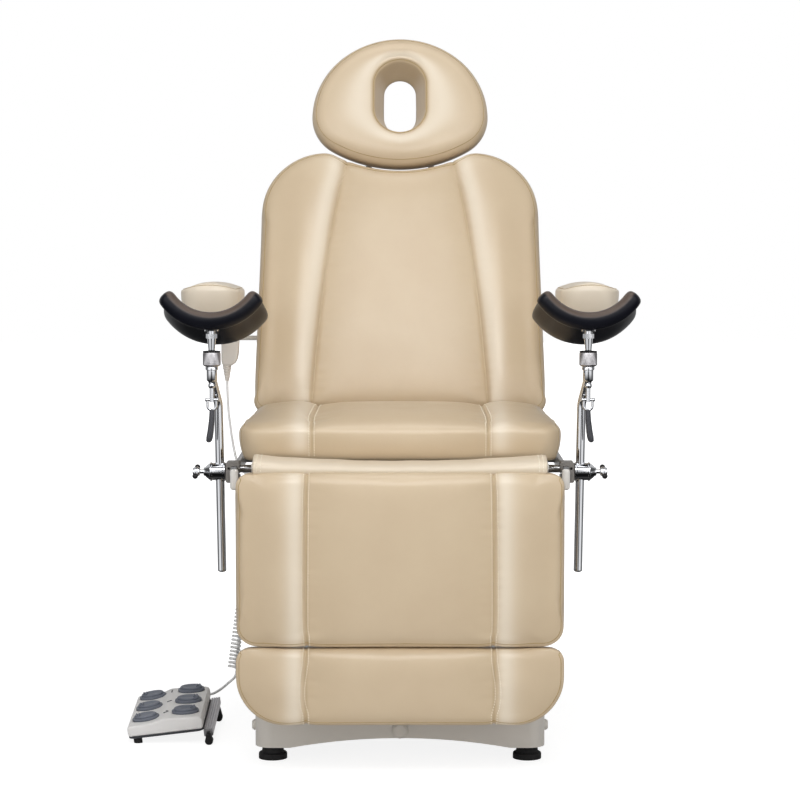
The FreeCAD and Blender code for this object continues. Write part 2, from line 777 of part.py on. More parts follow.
def column_inner():
    """Rising tube with its head flange and, inside, the nut plate that rides on the lift screw."""
    tube = column_tube(INNER_W / 2, INNER_D / 2, COLUMN_WALL, INNER_BOTTOM, BOARD_BOTTOM - PLATE_T)
    flange = box(-INNER_W / 2 - 30, INNER_W / 2 + 30, COLUMN_Y - INNER_D / 2 - 12,
                 COLUMN_Y + INNER_D / 2 + 12, BOARD_BOTTOM - PLATE_T, BOARD_BOTTOM)
    inside_x, inside_y = INNER_W / 2 - COLUMN_WALL, INNER_D / 2 - COLUMN_WALL
    nut_low = NUT_PLATE_LOW
    nut = box(-inside_x, inside_x, COLUMN_Y - inside_y, COLUMN_Y + inside_y, nut_low, nut_low + NUT_PLATE_T)
    hole = bar(Vector(0, COLUMN_Y, nut_low - 1), Vector(0, COLUMN_Y, nut_low + NUT_PLATE_T + 1), SCREW_R + RUN_GAP)
    return fused([tube, flange, nut.cut(hole)])


def lift_motor():
    """Gear motor on the base plate with its upright lift screw."""
    foot = Vector(0, COLUMN_Y, PLATE_TOP)
    up = Vector(0, 0, 1)
    gearbox = rounded(box(-55, 55, COLUMN_Y - 38, COLUMN_Y + 38, PLATE_TOP, PLATE_TOP + 34), 8, up)
    motor = bar(foot + up * 34, foot + up * 84, 34)
    screw_top = NUT_PLATE_LOW + LIFT + 2 * NUT_PLATE_T
    screw = bar(foot + up * 84, Vector(0, COLUMN_Y, screw_top), SCREW_R)
    return fused([gearbox, motor, screw])


# Seat frame, rails and actuators

def lug(x0, x1, eye, eye_r, foot_y0, foot_y1, foot_z):
    """Flat hinge lug: a round eye on a web that widens to its foot."""
    disc = bar(Vector(x0, eye.y, eye.z), Vector(x1, eye.y, eye.z), eye_r)
    web = Part.Face(Part.makePolygon([
        Vector(x0, eye.y - eye_r, eye.z), Vector(x0, eye.y + eye_r, eye.z),
        Vector(x0, foot_y1, foot_z), Vector(x0, foot_y0, foot_z), Vector(x0, eye.y - eye_r, eye.z),
    ])).extrude(Vector(x1 - x0, 0, 0))
    return fused([disc, web])


LEG_LUG_X = FRAME_HALF - LUG_T
BACK_LUG_X = FRAME_HALF - LUG_T


def seat_frame():
    """Seat board on two long tubes and cross tubes, with the hinge lugs at both ends."""
    tube_in = FRAME_HALF - TUBE_W
    front, rear = SEAT_FRONT + 22, SEAT_REAR - 12
    pieces = [box(-FRAME_HALF, FRAME_HALF, front, rear, BOARD_BOTTOM, SEAT_BOTTOM)]
    for y in (front + CROSS_TUBE_SET, rear - TUBE_W):
        pieces.append(box(-tube_in, tube_in, y, y + TUBE_W, TUBE_BOTTOM, BOARD_BOTTOM))
    for side in (-1, 1):
        x0, x1 = sorted((side * tube_in, side * FRAME_HALF))
        pieces.append(box(x0, x1, front, rear, TUBE_BOTTOM, BOARD_BOTTOM))
        lug0, lug1 = sorted((side * LEG_LUG_X, side * FRAME_HALF))
        pieces.append(lug(lug0, lug1, LEG_HINGE, HINGE_EYE_R, front, front + 40, TUBE_BOTTOM))
        pieces.append(lug(lug0, lug1, BACK_HINGE, BACK_EYE_R, rear - 60, rear, TUBE_BOTTOM))
    frame = fused(pieces)
    for hinge in (LEG_HINGE, BACK_HINGE):
        hole = bar(Vector(-FRAME_HALF - 1, hinge.y, hinge.z), Vector(FRAME_HALF + 1, hinge.y, hinge.z),
                   HINGE_PIN_R + RUN_GAP)
        frame = frame.cut(hole)
    return frame


def side_rails():
    """Stainless accessory rails on spacers along both sides of the seat frame."""
    y1 = RAIL_FRONT + RAIL_LEN
    rail = box(RAIL_X, RAIL_X + RAIL_T, RAIL_FRONT, y1, RAIL_Z - RAIL_H / 2, RAIL_Z + RAIL_H / 2)
    rail = rounded(rail, 2, Vector(0, 1, 0))
    pieces = [rail]
    for y in (CLAMP_Y + 55, y1 - 40):
        pieces.append(bar(Vector(FRAME_HALF, y, RAIL_Z), Vector(RAIL_X, y, RAIL_Z), 8))
    return pair(fused(pieces))


JAW_IN = RAIL_X - 5.0
JAW_OUT = RAIL_X + RAIL_T + 12.0
JAW_LEVER_X = (RAIL_X + RAIL_T + JAW_OUT) / 2


def rail_jaws():
    """Hooked clamp blocks on the rails, each bored for the pin of its swivel."""
    low, high = RAIL_Z - RAIL_H / 2 - 8, RAIL_Z + RAIL_H / 2 + 8
    front, rear = CLAMP_Y - JAW_HALF, CLAMP_Y + JAW_HALF
    block = rounded(box(JAW_IN, JAW_OUT, front, rear, low, high), 4, Vector(0, 1, 0))
    slot = box(RAIL_X - RUN_GAP, RAIL_X + RAIL_T + RUN_GAP, front - 1, rear + 1,
               RAIL_Z - RAIL_H / 2 - RUN_GAP, RAIL_Z + RAIL_H / 2 + RUN_GAP)
    mouth = box(JAW_IN - 1, RAIL_X, front - 1, rear + 1, RAIL_Z - 7, RAIL_Z + 7)
    lever_hole = bar(Vector(JAW_LEVER_X, front - 1, RAIL_Z + JAW_LEVER_UP),
                     Vector(JAW_LEVER_X, front + 12, RAIL_Z + JAW_LEVER_UP), JAW_PIN_R + RUN_GAP)
    hole = bar(Vector(RAIL_X + RAIL_T, CLAMP_Y, RAIL_Z), Vector(JAW_OUT + 1, CLAMP_Y, RAIL_Z),
               SWIVEL_PIN_R + RUN_GAP)
    return pair(block.cut([slot, mouth, hole, lever_hole]))


def jaw_lever():
    """White locking lever on the front of a rail jaw, hanging from its pin."""
    y0 = CLAMP_Y - JAW_HALF - JAW_LEVER_T - RUN_GAP
    pin = Vector(JAW_LEVER_X, y0, RAIL_Z + JAW_LEVER_UP)
    boss = bar(pin, pin + Vector(0, JAW_LEVER_T, 0), JAW_LEVER_R)
    shank = bar(pin + Vector(0, JAW_LEVER_T, 0), pin + Vector(0, JAW_LEVER_T + 12, 0), JAW_PIN_R)
    r = JAW_LEVER_R
    tip = pin + Vector(-4, 0, -JAW_LEVER_LEN)
    bow = Vector(3, 0, -JAW_LEVER_LEN * 0.5)
    blade = Part.Face(Part.Wire([
        arc(pin + Vector(-r, 0, 0), pin + bow + Vector(-r * 0.7, 0, 0), tip + Vector(-r * 0.5, 0, 0)),
        arc(tip + Vector(-r * 0.5, 0, 0), tip + Vector(0, 0, -r * 0.4), tip + Vector(r * 0.5, 0, 0)),
        arc(tip + Vector(r * 0.5, 0, 0), pin + bow + Vector(r * 0.8, 0, 0), pin + Vector(r, 0, 0)),
        line(pin + Vector(r, 0, 0), pin + Vector(-r, 0, 0)),
    ])).extrude(Vector(0, JAW_LEVER_T, 0))
    return fused([boss, shank, blade])


def crank_pin(hinge, radius, travel):
    """Actuator pin below a hinge, half the travel behind the lowest point."""
    half = math.radians(travel / 2)
    return Vector(0, hinge.y + radius * math.sin(half), hinge.z - radius * math.cos(half))


BACK_PIN = crank_pin(BACK_HINGE, BACK_CRANK, BACK_RANGE)
LEG_PIN = crank_pin(LEG_HINGE, LEG_CRANK, LEG_RANGE)


def crank_fall(radius, travel):
    """How far the pin sinks below its two end places in mid travel."""
    return radius * (1 - math.cos(math.radians(travel / 2)))


BACK_STROKE = 2 * (BACK_PIN.y - BACK_HINGE.y)
LEG_STROKE = 2 * (LEG_PIN.y - LEG_HINGE.y)


def actuator(x, mouth_y, forward, level, stroke):
    """Motor housing and guide tube; forward is the side of Y on which the rod comes out."""
    length = stroke + 60
    tail_y = mouth_y - forward * length
    tube = bar(Vector(x, tail_y, level), Vector(x, mouth_y, level), ACT_TUBE_R)
    y0, y1 = sorted((tail_y, tail_y + forward * 62))
    housing = box(x - ACT_BOX_W / 2, x + ACT_BOX_W / 2, y0, y1, level - ACT_BOX_H / 2, level + ACT_BOX_H / 2)
    housing = rounded(housing, 8, Vector(0, 1, 0))
    hanger = box(x - 16, x + 16, y0 + 10, y1 - 10, level + ACT_BOX_H / 2, BOARD_BOTTOM)
    body = fused([tube, housing, hanger])
    bore = bar(Vector(x, tail_y + forward * 20, level), Vector(x, mouth_y + forward, level), ACT_ROD_R + RUN_GAP)
    return body.cut(bore)


def actuator_rod(x, pin, fall, mouth_y, forward, level, stroke):
    """Push rod with a slotted head that lets its pin rise and sink as the crank turns."""
    inside_y = mouth_y - forward * (stroke + 30) if forward * (pin.y - mouth_y) < stroke else mouth_y - forward * 30
    half_w = ACT_FORK_W / 2 - RUN_GAP
    reach = ACT_PIN_R + PIN_SLACK
    rod_end = pin.y - forward * (reach + 4)
    rod = bar(Vector(x, inside_y, level), Vector(x, rod_end, level), ACT_ROD_R)
    low = pin.z - fall - reach - 6
    high = pin.z + reach + 6
    head = box(x - half_w, x + half_w, pin.y - reach - 6, pin.y + reach + 6, low, high)
    slot = box(x - 40, x + 40, pin.y - reach, pin.y + reach, pin.z - fall, pin.z)
    ends = [bar(Vector(x - 40, pin.y, z), Vector(x + 40, pin.y, z), reach) for z in (pin.z - fall, pin.z)]
    body = fused([rod, rounded(head, 5, Vector(1, 0, 0))])
    return body.cut(fused([slot] + ends))


BACK_FALL = crank_fall(BACK_CRANK, BACK_RANGE)
LEG_FALL = crank_fall(LEG_CRANK, LEG_RANGE)
BACK_ACT_LEVEL = BACK_PIN.z - BACK_FALL / 2
LEG_ACT_LEVEL = LEG_PIN.z - LEG_FALL / 2
BACK_MOUTH = BACK_PIN.y - BACK_STROKE - 32
LEG_MOUTH = LEG_PIN.y + 32


def crank_arms(x, pin, hinge_level, root_y0, root_y1):
    """Two cheeks with the pin between them; they stand on the frame that the actuator moves."""
    half = ACT_FORK_W / 2
    cheeks = []
    for x0 in (x - half - 6, x + half):
        disc = bar(Vector(x0, pin.y, pin.z), Vector(x0 + 6, pin.y, pin.z), 13)
        web = Part.Face(Part.makePolygon([
            Vector(x0, pin.y - 13, pin.z), Vector(x0, pin.y + 13, pin.z),
            Vector(x0, root_y1, hinge_level), Vector(x0, root_y0, hinge_level),
            Vector(x0, pin.y - 13, pin.z),
        ])).extrude(Vector(6, 0, 0))
        cheeks.append(fused([disc, web]))
    pin_bar = bar(Vector(x - half - 6, pin.y, pin.z), Vector(x + half + 6, pin.y, pin.z), ACT_PIN_R)
    return cheeks + [pin_bar]


# Leg rest and footrest

LEG_FRAME_T = 24.0
GUIDE_X = 120.0
GUIDE_R = 8.0
FOOT_TRAVEL = 180.0
GUIDE_LOW = LEG_PAD_LOW + 40.0
GUIDE_PITCH = 150.0
GUIDE_LEN = 44.0
GUIDE_HOLD = 30.0


def legrest_frame():
    """Back panel of the leg rest with hinge arms, crank cheeks and the footrest's guide blocks."""
    y0, y1 = LEG_REAR, LEG_REAR + LEG_FRAME_T
    panel = box(-FRAME_HALF + 40, FRAME_HALF - 40, y0, y0 + 6, LEG_PAD_LOW + 24, LEG_PAD_TOP - 20)
    pieces = [panel]
    arm_out = LEG_LUG_X - 1
    arm_in = arm_out - LUG_T
    for side in (-1, 1):
        x0, x1 = sorted((side * arm_in, side * arm_out))
        stile0, stile1 = sorted((side * (arm_in - 22), side * arm_out))
        pieces.append(box(stile0, stile1, y0, y1, LEG_PAD_LOW + 60, LEG_PAD_TOP - 34))
        pieces.append(lug(x0, x1, LEG_HINGE, HINGE_EYE_R, y0, y1, LEG_PAD_TOP - 60))
        pin0, pin1 = sorted((side * arm_in, side * (FRAME_HALF - SEAT_GAP)))
        pieces.append(bar(Vector(pin0, LEG_HINGE.y, LEG_HINGE.z), Vector(pin1, LEG_HINGE.y, LEG_HINGE.z),
                          HINGE_PIN_R))
        for z in (GUIDE_LOW, GUIDE_LOW + GUIDE_PITCH):
            x = side * GUIDE_X
            pieces.append(rounded(box(x - 16, x + 16, y0, y0 + 30, z, z + GUIDE_LEN), 6, Vector(0, 0, 1)))
    pieces += crank_arms(-ACT_X, LEG_PIN, LEG_PAD_TOP - 70, y0, y0 + 24)
    pieces.append(box(-ACT_X - 24, -ACT_X + 24, y0, y1, LEG_PAD_TOP - 90, LEG_PAD_TOP - 34))
    frame = fused(pieces)
    rail_y = y0 + 17
    for x in (-GUIDE_X, GUIDE_X):
        frame = frame.cut(bar(Vector(x, rail_y, LEG_PAD_LOW), Vector(x, rail_y, LEG_PAD_TOP), GUIDE_R + RUN_GAP))
    return frame


def footrest_rails():
    """Carrier plate of the footrest on two slide rods that run in the leg rest's guide blocks."""
    rail_y = LEG_REAR + 17
    half = PAD_W / 2 - FOOT_PLATE_INSET
    plate = box(-half, half, LEG_REAR, LEG_REAR + 6, FOOT_LOW + FOOT_PLATE_LOW,
                FOOT_LOW + FOOT_LEN - FOOT_PLATE_HIGH)
    pieces = [plate]
    for x in (-GUIDE_X, GUIDE_X):
        foot = Vector(x, rail_y, FOOT_LOW + 34)
        pieces.append(bar(foot, Vector(x, rail_y, GUIDE_LOW + GUIDE_HOLD + FOOT_TRAVEL), GUIDE_R))
        for z in (FOOT_LOW + 34, FOOT_LOW + FOOT_LEN - 50):
            pieces.append(box(x - 11, x + 11, LEG_REAR, rail_y + 10, z, z + 26))
    return fused(pieces)


# Backrest, headrest and armrest carriers

BACK_RAIL_X = 214.0
BACK_RAIL_T = 25.0
HEAD_ROD_X = 70.0
HEAD_ROD_R = 7.0
HEAD_SOCKET_LEN = 150.0
HEAD_SOCKET_LOW = BACK_LEN - 110.0 - HEAD_SOCKET_LEN
HEAD_ROD_HOLD = 50.0
BACK_BASE = BACK_HINGE_DROP - BACK_T


def back_frame():
    """Backrest panel on two long bars, with hinge arms, crank, headrest sockets and arm pivots."""
    out = -BACK_RAIL_T
    top = BACK_LEN - 90
    panel_half = PAD_W / 2 - BACK_PANEL_INSET
    pieces = [box(-panel_half, panel_half, 20, top, out + 17, out + BACK_RAIL_T)]
    arm_out = BACK_LUG_X - 1
    arm_in = arm_out - 2 * LUG_T
    for side in (-1, 1):
        x0, x1 = sorted((side * (BACK_RAIL_X - 15), side * (BACK_RAIL_X + 15)))
        pieces.append(box(x0, x1, 20, top, out, out + 17))
        a0, a1 = sorted((side * arm_in, side * arm_out))
        pieces.append(box(a0, a1, -BACK_START - 4, 120, out, out + BACK_RAIL_T))
        h0, h1 = sorted((side * (BACK_RAIL_X - 15), side * arm_out))
        pieces.append(box(h0, h1, 60, 120, out, out + BACK_RAIL_T))
    for x in (-HEAD_ROD_X, HEAD_ROD_X):
        socket = box(x - 15, x + 15, HEAD_SOCKET_LOW, HEAD_SOCKET_LOW + HEAD_SOCKET_LEN, out - 8, out + 17)
        pieces.append(rounded(socket, 5, Vector(0, 1, 0)))
    pieces.append(box(-BACK_RAIL_X, BACK_RAIL_X, top - 110, top - 80, out, out + 17))
    flat = fused(pieces)
    for x in (-HEAD_ROD_X, HEAD_ROD_X):
        hole = bar(Vector(x, HEAD_SOCKET_LOW - 30, out + 3), Vector(x, top + 10, out + 3), HEAD_ROD_R + RUN_GAP)
        flat = flat.cut(hole)
    frame = on_back(flat, BACK_START, BACK_BASE)
    joints = []
    for side in (-1, 1):
        a0, a1 = sorted((side * arm_in, side * arm_out))
        joints.append(bar(Vector(a0, BACK_HINGE.y, BACK_HINGE.z), Vector(a1, BACK_HINGE.y, BACK_HINGE.z),
                          BACK_EYE_R))
        p0, p1 = sorted((side * arm_in, side * (FRAME_HALF - SEAT_GAP)))
        joints.append(bar(Vector(p0, BACK_HINGE.y, BACK_HINGE.z), Vector(p1, BACK_HINGE.y, BACK_HINGE.z),
                          HINGE_PIN_R))
        pivot = back_frame_point(0, ARM_PIVOT_UP, BACK_BASE - ARM_PIVOT_BACK)
        inner = Vector(side * (BACK_RAIL_X - 15), pivot.y, pivot.z)
        joints.append(bar(inner, Vector(side * (ARM_BOSS_X0 - RUN_GAP), pivot.y, pivot.z), 13))
        joints.append(bar(inner, Vector(side * ARM_BOSS_X1, pivot.y, pivot.z), ARM_PIVOT_R))
    beam = box(ACT_X - 34, BACK_RAIL_X + 15, 24, 64, -BACK_RAIL_T, -1)
    joints.append(on_back(beam, BACK_START, BACK_BASE))
    root = back_frame_point(0, BACK_START + 34, BACK_BASE - 14)
    joints += crank_arms(ACT_X, BACK_PIN, root.z, root.y - 12, root.y + 14)
    return fused([frame, handset_hook()] + joints)


ARM_BOSS_X0 = PAD_W / 2 + 16.0
ARM_BOSS_X1 = ARM_BOSS_X0 + 22.0


def armrest_arm():
    """Bent steel carrier under the arm pad, bored for the pivot on the backrest."""
    pivot = back_frame_point(0, ARM_PIVOT_UP, BACK_BASE - ARM_PIVOT_BACK)
    boss = bar(Vector(ARM_BOSS_X0, pivot.y, pivot.z), Vector(ARM_BOSS_X1, pivot.y, pivot.z), ARM_BOSS_R)
    low = ARM_FRONT_TOP - ARM_T * math.cos(math.radians(ARM_RISE))
    bar_x = ARM_X - ARM_BAR_W / 2
    flat = box(bar_x, bar_x + ARM_BAR_W, 60, ARM_LEN - 24, -ARM_BAR_T, 0)
    side = box(ARM_BOSS_X0, bar_x + 8, ARM_LEN - 70, ARM_LEN - 24, -ARM_BAR_T, 0)
    plate = laid(fused([rounded(flat, 3, Vector(0, 1, 0)), side]), ARM_RISE, Vector(0, ARM_FRONT_Y, low))
    rise = math.radians(ARM_RISE)
    reach = ARM_LEN - 47
    joint_y = ARM_FRONT_Y + reach * math.cos(rise)
    joint_z = low + reach * math.sin(rise) - ARM_BAR_T
    web = Part.Face(Part.makePolygon([
        Vector(ARM_BOSS_X0, joint_y - 22, joint_z + 2), Vector(ARM_BOSS_X0, joint_y + 20, joint_z + 6),
        Vector(ARM_BOSS_X0, pivot.y + 12, pivot.z + 4), Vector(ARM_BOSS_X0, pivot.y - 14, pivot.z - 10),
        Vector(ARM_BOSS_X0, joint_y - 22, joint_z + 2),
    ])).extrude(Vector(ARM_BOSS_X1 - ARM_BOSS_X0, 0, 0))
    arm = fused([boss, plate, web])
    hole = bar(Vector(ARM_BOSS_X0 - 1, pivot.y, pivot.z), Vector(ARM_BOSS_X1 + 1, pivot.y, pivot.z),
               ARM_PIVOT_R + RUN_GAP)
    return arm.cut(hole)


def headrest_frame():
    """Carrier plate of the head pad on two rods that slide in the backrest's sockets."""
    start = HEAD_START - BACK_START
    plate = box(-92, 92, start + 40, start + 84, -BACK_RAIL_T + 15, 0)
    upper = box(-92, 92, start + HEAD_LEN - 60, start + HEAD_LEN - 30, -8, 0)
    pieces = [plate, upper]
    for side in (-1, 1):
        x0, x1 = sorted((side * 66, side * 92))
        pieces.append(box(x0, x1, start + 60, start + HEAD_LEN - 40, -8, 0))
        rod_low = HEAD_SOCKET_LOW + HEAD_SOCKET_LEN - HEAD_ROD_HOLD - HEAD_TRAVEL
        foot = Vector(side * HEAD_ROD_X, rod_low, -BACK_RAIL_T + 3)
        tip = Vector(side * HEAD_ROD_X, start + 70, -BACK_RAIL_T + 3)
        pieces.append(bar(foot, tip, HEAD_ROD_R))
        h0, h1 = side * HEAD_ROD_X - 12, side * HEAD_ROD_X + 12
        pieces.append(box(h0, h1, start + 44, start + 80, -BACK_RAIL_T - 8, -4))
    return on_back(fused(pieces), BACK_START, BACK_BASE)


# Knee supports

def splay_point(z):
    """Centre of the support rod at a height; the rod leans outwards as it rises."""
    return Vector(ROD_X + (z - RAIL_Z) * math.tan(math.radians(ROD_SPLAY)), CLAMP_Y, z)


BARREL_X0 = JAW_OUT + 1.0
BARREL_X1 = BARREL_X0 + BARREL_LEN


def swivel_clamp():
    """Swivel barrel: its pin turns in the rail jaw and its cross bore holds the support rod."""
    centre = Vector(0, CLAMP_Y, RAIL_Z)
    x_axis = Vector(1, 0, 0)
    barrel = bar(centre + x_axis * BARREL_X0, centre + x_axis * BARREL_X1, BARREL_R)
    barrel = barrel.makeFillet(2, [e for e in barrel.Edges if isinstance(e.Curve, Part.Circle)])
    nose = cone(centre + x_axis * BARREL_X1, centre + x_axis * (BARREL_X1 + NOSE_LEN), BARREL_R - 3, NOSE_R)
    pin = bar(centre + x_axis * (RAIL_X + RAIL_T + 1), centre + x_axis * BARREL_X0, SWIVEL_PIN_R)
    body = fused([barrel, nose, pin])
    bore = bar(splay_point(RAIL_Z - 40), splay_point(RAIL_Z + 40), ROD_R + RUN_GAP)
    thread = bar(centre + x_axis * ROD_X, centre + x_axis * (BARREL_X1 + NOSE_LEN + 1), SCREW_SHANK_R + RUN_GAP)
    return body.cut([bore, thread])


def clamp_screw():
    """T-handled clamping screw in the nose of the barrel."""
    centre = Vector(0, CLAMP_Y, RAIL_Z)
    x_axis = Vector(1, 0, 0)
    tip = ROD_X + ROD_R + 2
    hub = BARREL_X1 + NOSE_LEN + 4
    shank = bar(centre + x_axis * tip, centre + x_axis * hub, SCREW_SHANK_R)
    head = bar(centre + x_axis * hub, centre + x_axis * (hub + SCREW_HUB_LEN), SCREW_HUB_R)
    head = head.makeFillet(3, [e for e in head.Edges if isinstance(e.Curve, Part.Circle)])
    tilt = math.radians(T_BAR_TILT)
    along = Vector(0, -math.cos(tilt), -math.sin(tilt))
    middle = centre + x_axis * (hub + SCREW_HUB_LEN / 2)
    near = middle + along * (T_BAR_LEN / 2)
    far = middle - along * (T_BAR_LEN / 2)
    knobs = [Part.makeSphere(T_KNOB_R, near), Part.makeSphere(T_KNOB_R, far)]
    return fused([shank, head, bar(near, far, T_BAR_R)] + knobs)


def support_rod():
    """Support rod with the welded-on stem: cup for the ball above, tongue for the cam lever below."""
    low, bend = splay_point(ROD_BOTTOM), splay_point(ROD_BEND)
    straight = bar(low, bend, ROD_R)
    straight = straight.makeFillet(3, [edge for edge in straight.Edges if edge.BoundBox.ZMax < ROD_BOTTOM + 5
                                       and isinstance(edge.Curve, Part.Circle)])
    stem_base = Vector(STEM_X, STEM_Y, STEM_LOW)
    joint = Vector(STEM_X, STEM_Y, STEM_LOW + 14)
    elbow = Part.makeSphere(ROD_R, bend)
    slant = bar(bend, joint, ROD_R)
    stem = bar(stem_base, Vector(STEM_X, STEM_Y, BALL_Z - BALL_R - 1), STEM_R)
    half = TONGUE_T / 2
    tongue = box(STEM_X - half, STEM_X + half, STEM_Y - 7, STEM_Y + 7, LEVER_PIN_Z, STEM_LOW + 4)
    eye = bar(Vector(STEM_X - half, STEM_Y, LEVER_PIN_Z), Vector(STEM_X + half, STEM_Y, LEVER_PIN_Z), 7)
    body = fused([straight, elbow, slant, stem, tongue, eye])
    hole = bar(Vector(STEM_X - 20, STEM_Y, LEVER_PIN_Z), Vector(STEM_X + 20, STEM_Y, LEVER_PIN_Z),
               LEVER_PIN_R + RUN_GAP)
    return body.cut(hole)


def ball_collar():
    """Knurled union collar that closes over the ball."""
    low = Vector(STEM_X, STEM_Y, COLLAR_LOW)
    high = Vector(STEM_X, STEM_Y, COLLAR_LOW + COLLAR_H)
    ball = Vector(STEM_X, STEM_Y, BALL_Z)
    collar = bar(low, high, COLLAR_R)
    collar = collar.makeChamfer(2, [e for e in collar.Edges if isinstance(e.Curve, Part.Circle)])
    throat = bar(low - Vector(0, 0, 1), ball, STEM_R + RUN_GAP)
    cavity = Part.makeSphere(BALL_R + RUN_GAP, ball)
    mouth = cone(ball + Vector(0, 0, 4), high + Vector(0, 0, 1), BALL_R - 1, COLLAR_R - 3)
    return collar.cut([throat, cavity, mouth])


def cam_lever():
    """Cam lever: two cheeks on the tongue's cross pin and a bowed grip that hangs below."""
    half = TONGUE_T / 2 + RUN_GAP
    pin_a = Vector(STEM_X - half - CHEEK_T - 2, STEM_Y, LEVER_PIN_Z)
    pin_b = Vector(STEM_X + half + CHEEK_T + 2, STEM_Y, LEVER_PIN_Z)
    pieces = [bar(pin_a, pin_b, LEVER_PIN_R)]
    for x0 in (STEM_X - half - CHEEK_T, STEM_X + half):
        cheek = bar(Vector(x0, STEM_Y, LEVER_PIN_Z), Vector(x0 + CHEEK_T, STEM_Y, LEVER_PIN_Z), 8)
        web = box(x0, x0 + CHEEK_T, STEM_Y - 6, STEM_Y + 6, GRIP_TOP - 2, LEVER_PIN_Z)
        pieces += [cheek, web]
    pieces.append(box(STEM_X - half - CHEEK_T, STEM_X + half + CHEEK_T, STEM_Y - 6, STEM_Y + 6,
                      GRIP_TOP - 4, LEVER_PIN_Z - 7 - 2))
    top = Vector(STEM_X, STEM_Y, GRIP_TOP)
    end = Vector(STEM_X + GRIP_BOW, STEM_Y, GRIP_TOP - GRIP_LEN)
    bow = Vector(STEM_X + GRIP_BOW * 0.2, STEM_Y, GRIP_TOP - GRIP_LEN * 0.55)
    path = Part.Wire([arc(top, bow, end)])
    profile = Part.Wire([Part.makeCircle(GRIP_R, top, Vector(0, 0, 1))])
    pieces.append(path.makePipeShell([profile], True, False))
    pieces.append(Part.makeSphere(GRIP_R, end))
    return fused(pieces)


def ball_stud():
    """Ball, tapered neck, hexagon nut and mounting flange under the trough."""
    ball = Vector(STEM_X, STEM_Y, BALL_Z)
    nut_low = Vector(STEM_X, STEM_Y, NUT_LOW)
    up = Vector(0, 0, 1)
    neck = cone(ball + up * 6, nut_low, STUD_R, STUD_R + STUD_FLARE)
    corner = NUT_AF / math.sqrt(3)
    ring = []
    for i in range(7):
        turn = math.radians(60 * i)
        ring.append(nut_low + Vector(corner * math.cos(turn), corner * math.sin(turn), 0))
    nut = Part.Face(Part.makePolygon(ring)).extrude(up * NUT_H)
    flange_low = nut_low + up * NUT_H
    seat = Part.makeCylinder(FLANGE_R, FLANGE_T, Vector(0, 0, -FLANGE_T))
    flange = laid(seat, -TROUGH_TILT, flange_low + up * (FLANGE_T + 4))
    bridge = bar(flange_low, flange_low + up * 8, NUT_AF / 2 - 2)
    return fused([Part.makeSphere(BALL_R, ball), neck, nut, bridge, flange])


TROUGH_SEAT = Vector(STEM_X, STEM_Y, NUT_LOW + NUT_H + FLANGE_T + 4)


def trough_section(y, thick, in_r, wrap, lift):
    """Band-shaped section of the knee trough: two arcs joined by rounded lips."""
    out_r = in_r + thick
    centre_z = out_r + lift
    a = math.radians(wrap)

    def polar(r, angle):
        return Vector(r * math.sin(angle), y, centre_z - r * math.cos(angle))

    mid_r = (in_r + out_r) / 2
    tip = a + 0.42 * thick / mid_r
    return Part.Wire([
        arc(polar(out_r, -a), polar(out_r, 0), polar(out_r, a)),
        arc(polar(out_r, a), polar(mid_r, tip), polar(in_r, a)),
        arc(polar(in_r, a), polar(in_r, 0), polar(in_r, -a)),
        arc(polar(in_r, -a), polar(mid_r, -tip), polar(out_r, -a)),
    ])


def knee_trough():
    """Moulded knee trough with a thick rolled front lip, tipped down towards the rear."""
    front = TROUGH_BACK - TROUGH_LEN / 2
    rear = TROUGH_BACK + TROUGH_LEN / 2
    thick_step = TROUGH_LIP - TROUGH_T
    sections = [
        trough_section(front, TROUGH_LIP - 8, TROUGH_IN_R - 4, TROUGH_WRAP - 3, 4),
        trough_section(front + 16, TROUGH_LIP, TROUGH_IN_R - 8, TROUGH_WRAP - 1, 0),
        trough_section(front + 52, TROUGH_T + thick_step / 3, TROUGH_IN_R - 2, TROUGH_WRAP, 0),
        trough_section(rear - 20, TROUGH_T, TROUGH_IN_R, TROUGH_WRAP - 2, 0),
        trough_section(rear, TROUGH_T - 8, TROUGH_IN_R + 6, TROUGH_WRAP - 5, 5),
    ]
    body = Part.makeLoft(sections, True, True)
    pad = box(-FLANGE_R, FLANGE_R, -FLANGE_R, FLANGE_R, 0, TROUGH_T / 2)
    return laid(fused([body, pad]), -TROUGH_TILT, TROUGH_SEAT)


# Foot control

def in_box(shape):
    """Sets a piece drawn level in the foot control's corner frame onto its tilted place."""
    placed = shape.copy()
    placed.rotate(Vector(0, 0, 0), Vector(0, 1, 0), -BOX_TILT)
    placed.rotate(Vector(0, 0, 0), Vector(1, 0, 0), BOX_PITCH)
    placed.translate(Vector(BOX_LEFT, BOX_NEAR, BOX_FOOT_H))
    return placed


def box_way(direction):
    """Direction in the foot control's corner frame, turned as the foot control stands."""
    tilted = FreeCAD.Rotation(Vector(0, 1, 0), -BOX_TILT).multVec(direction)
    return FreeCAD.Rotation(Vector(1, 0, 0), BOX_PITCH).multVec(tilted)


def on_floor(shape):
    """The part of a piece of the foot control that stands above the floor."""
    reach = 2 * (BOX_W + BOX_D)
    return shape.cut(box(BOX_LEFT - reach, BOX_LEFT + reach, BOX_NEAR - reach, BOX_NEAR + reach, -reach, 0))


def oval(centre_x, centre_y, length, width, z0, z1, grow=0.0):
    """Upright stadium-shaped prism, long across X."""
    r = width / 2 + grow
    run = length / 2 - width / 2
    core = box(centre_x - run, centre_x + run, centre_y - r, centre_y + r, z0, z1)
    ends = [Part.makeCylinder(r, z1 - z0, Vector(centre_x + s * run, centre_y, z0)) for s in (-1, 1)]
    return fused([core] + ends)


PEDAL_BASE = BOX_H + PEDAL_PROUD - PEDAL_H


def pedal_places():
    for row in range(3):
        for x in PEDAL_COLUMNS:
            yield x, PEDAL_FIRST + row * PEDAL_PITCH


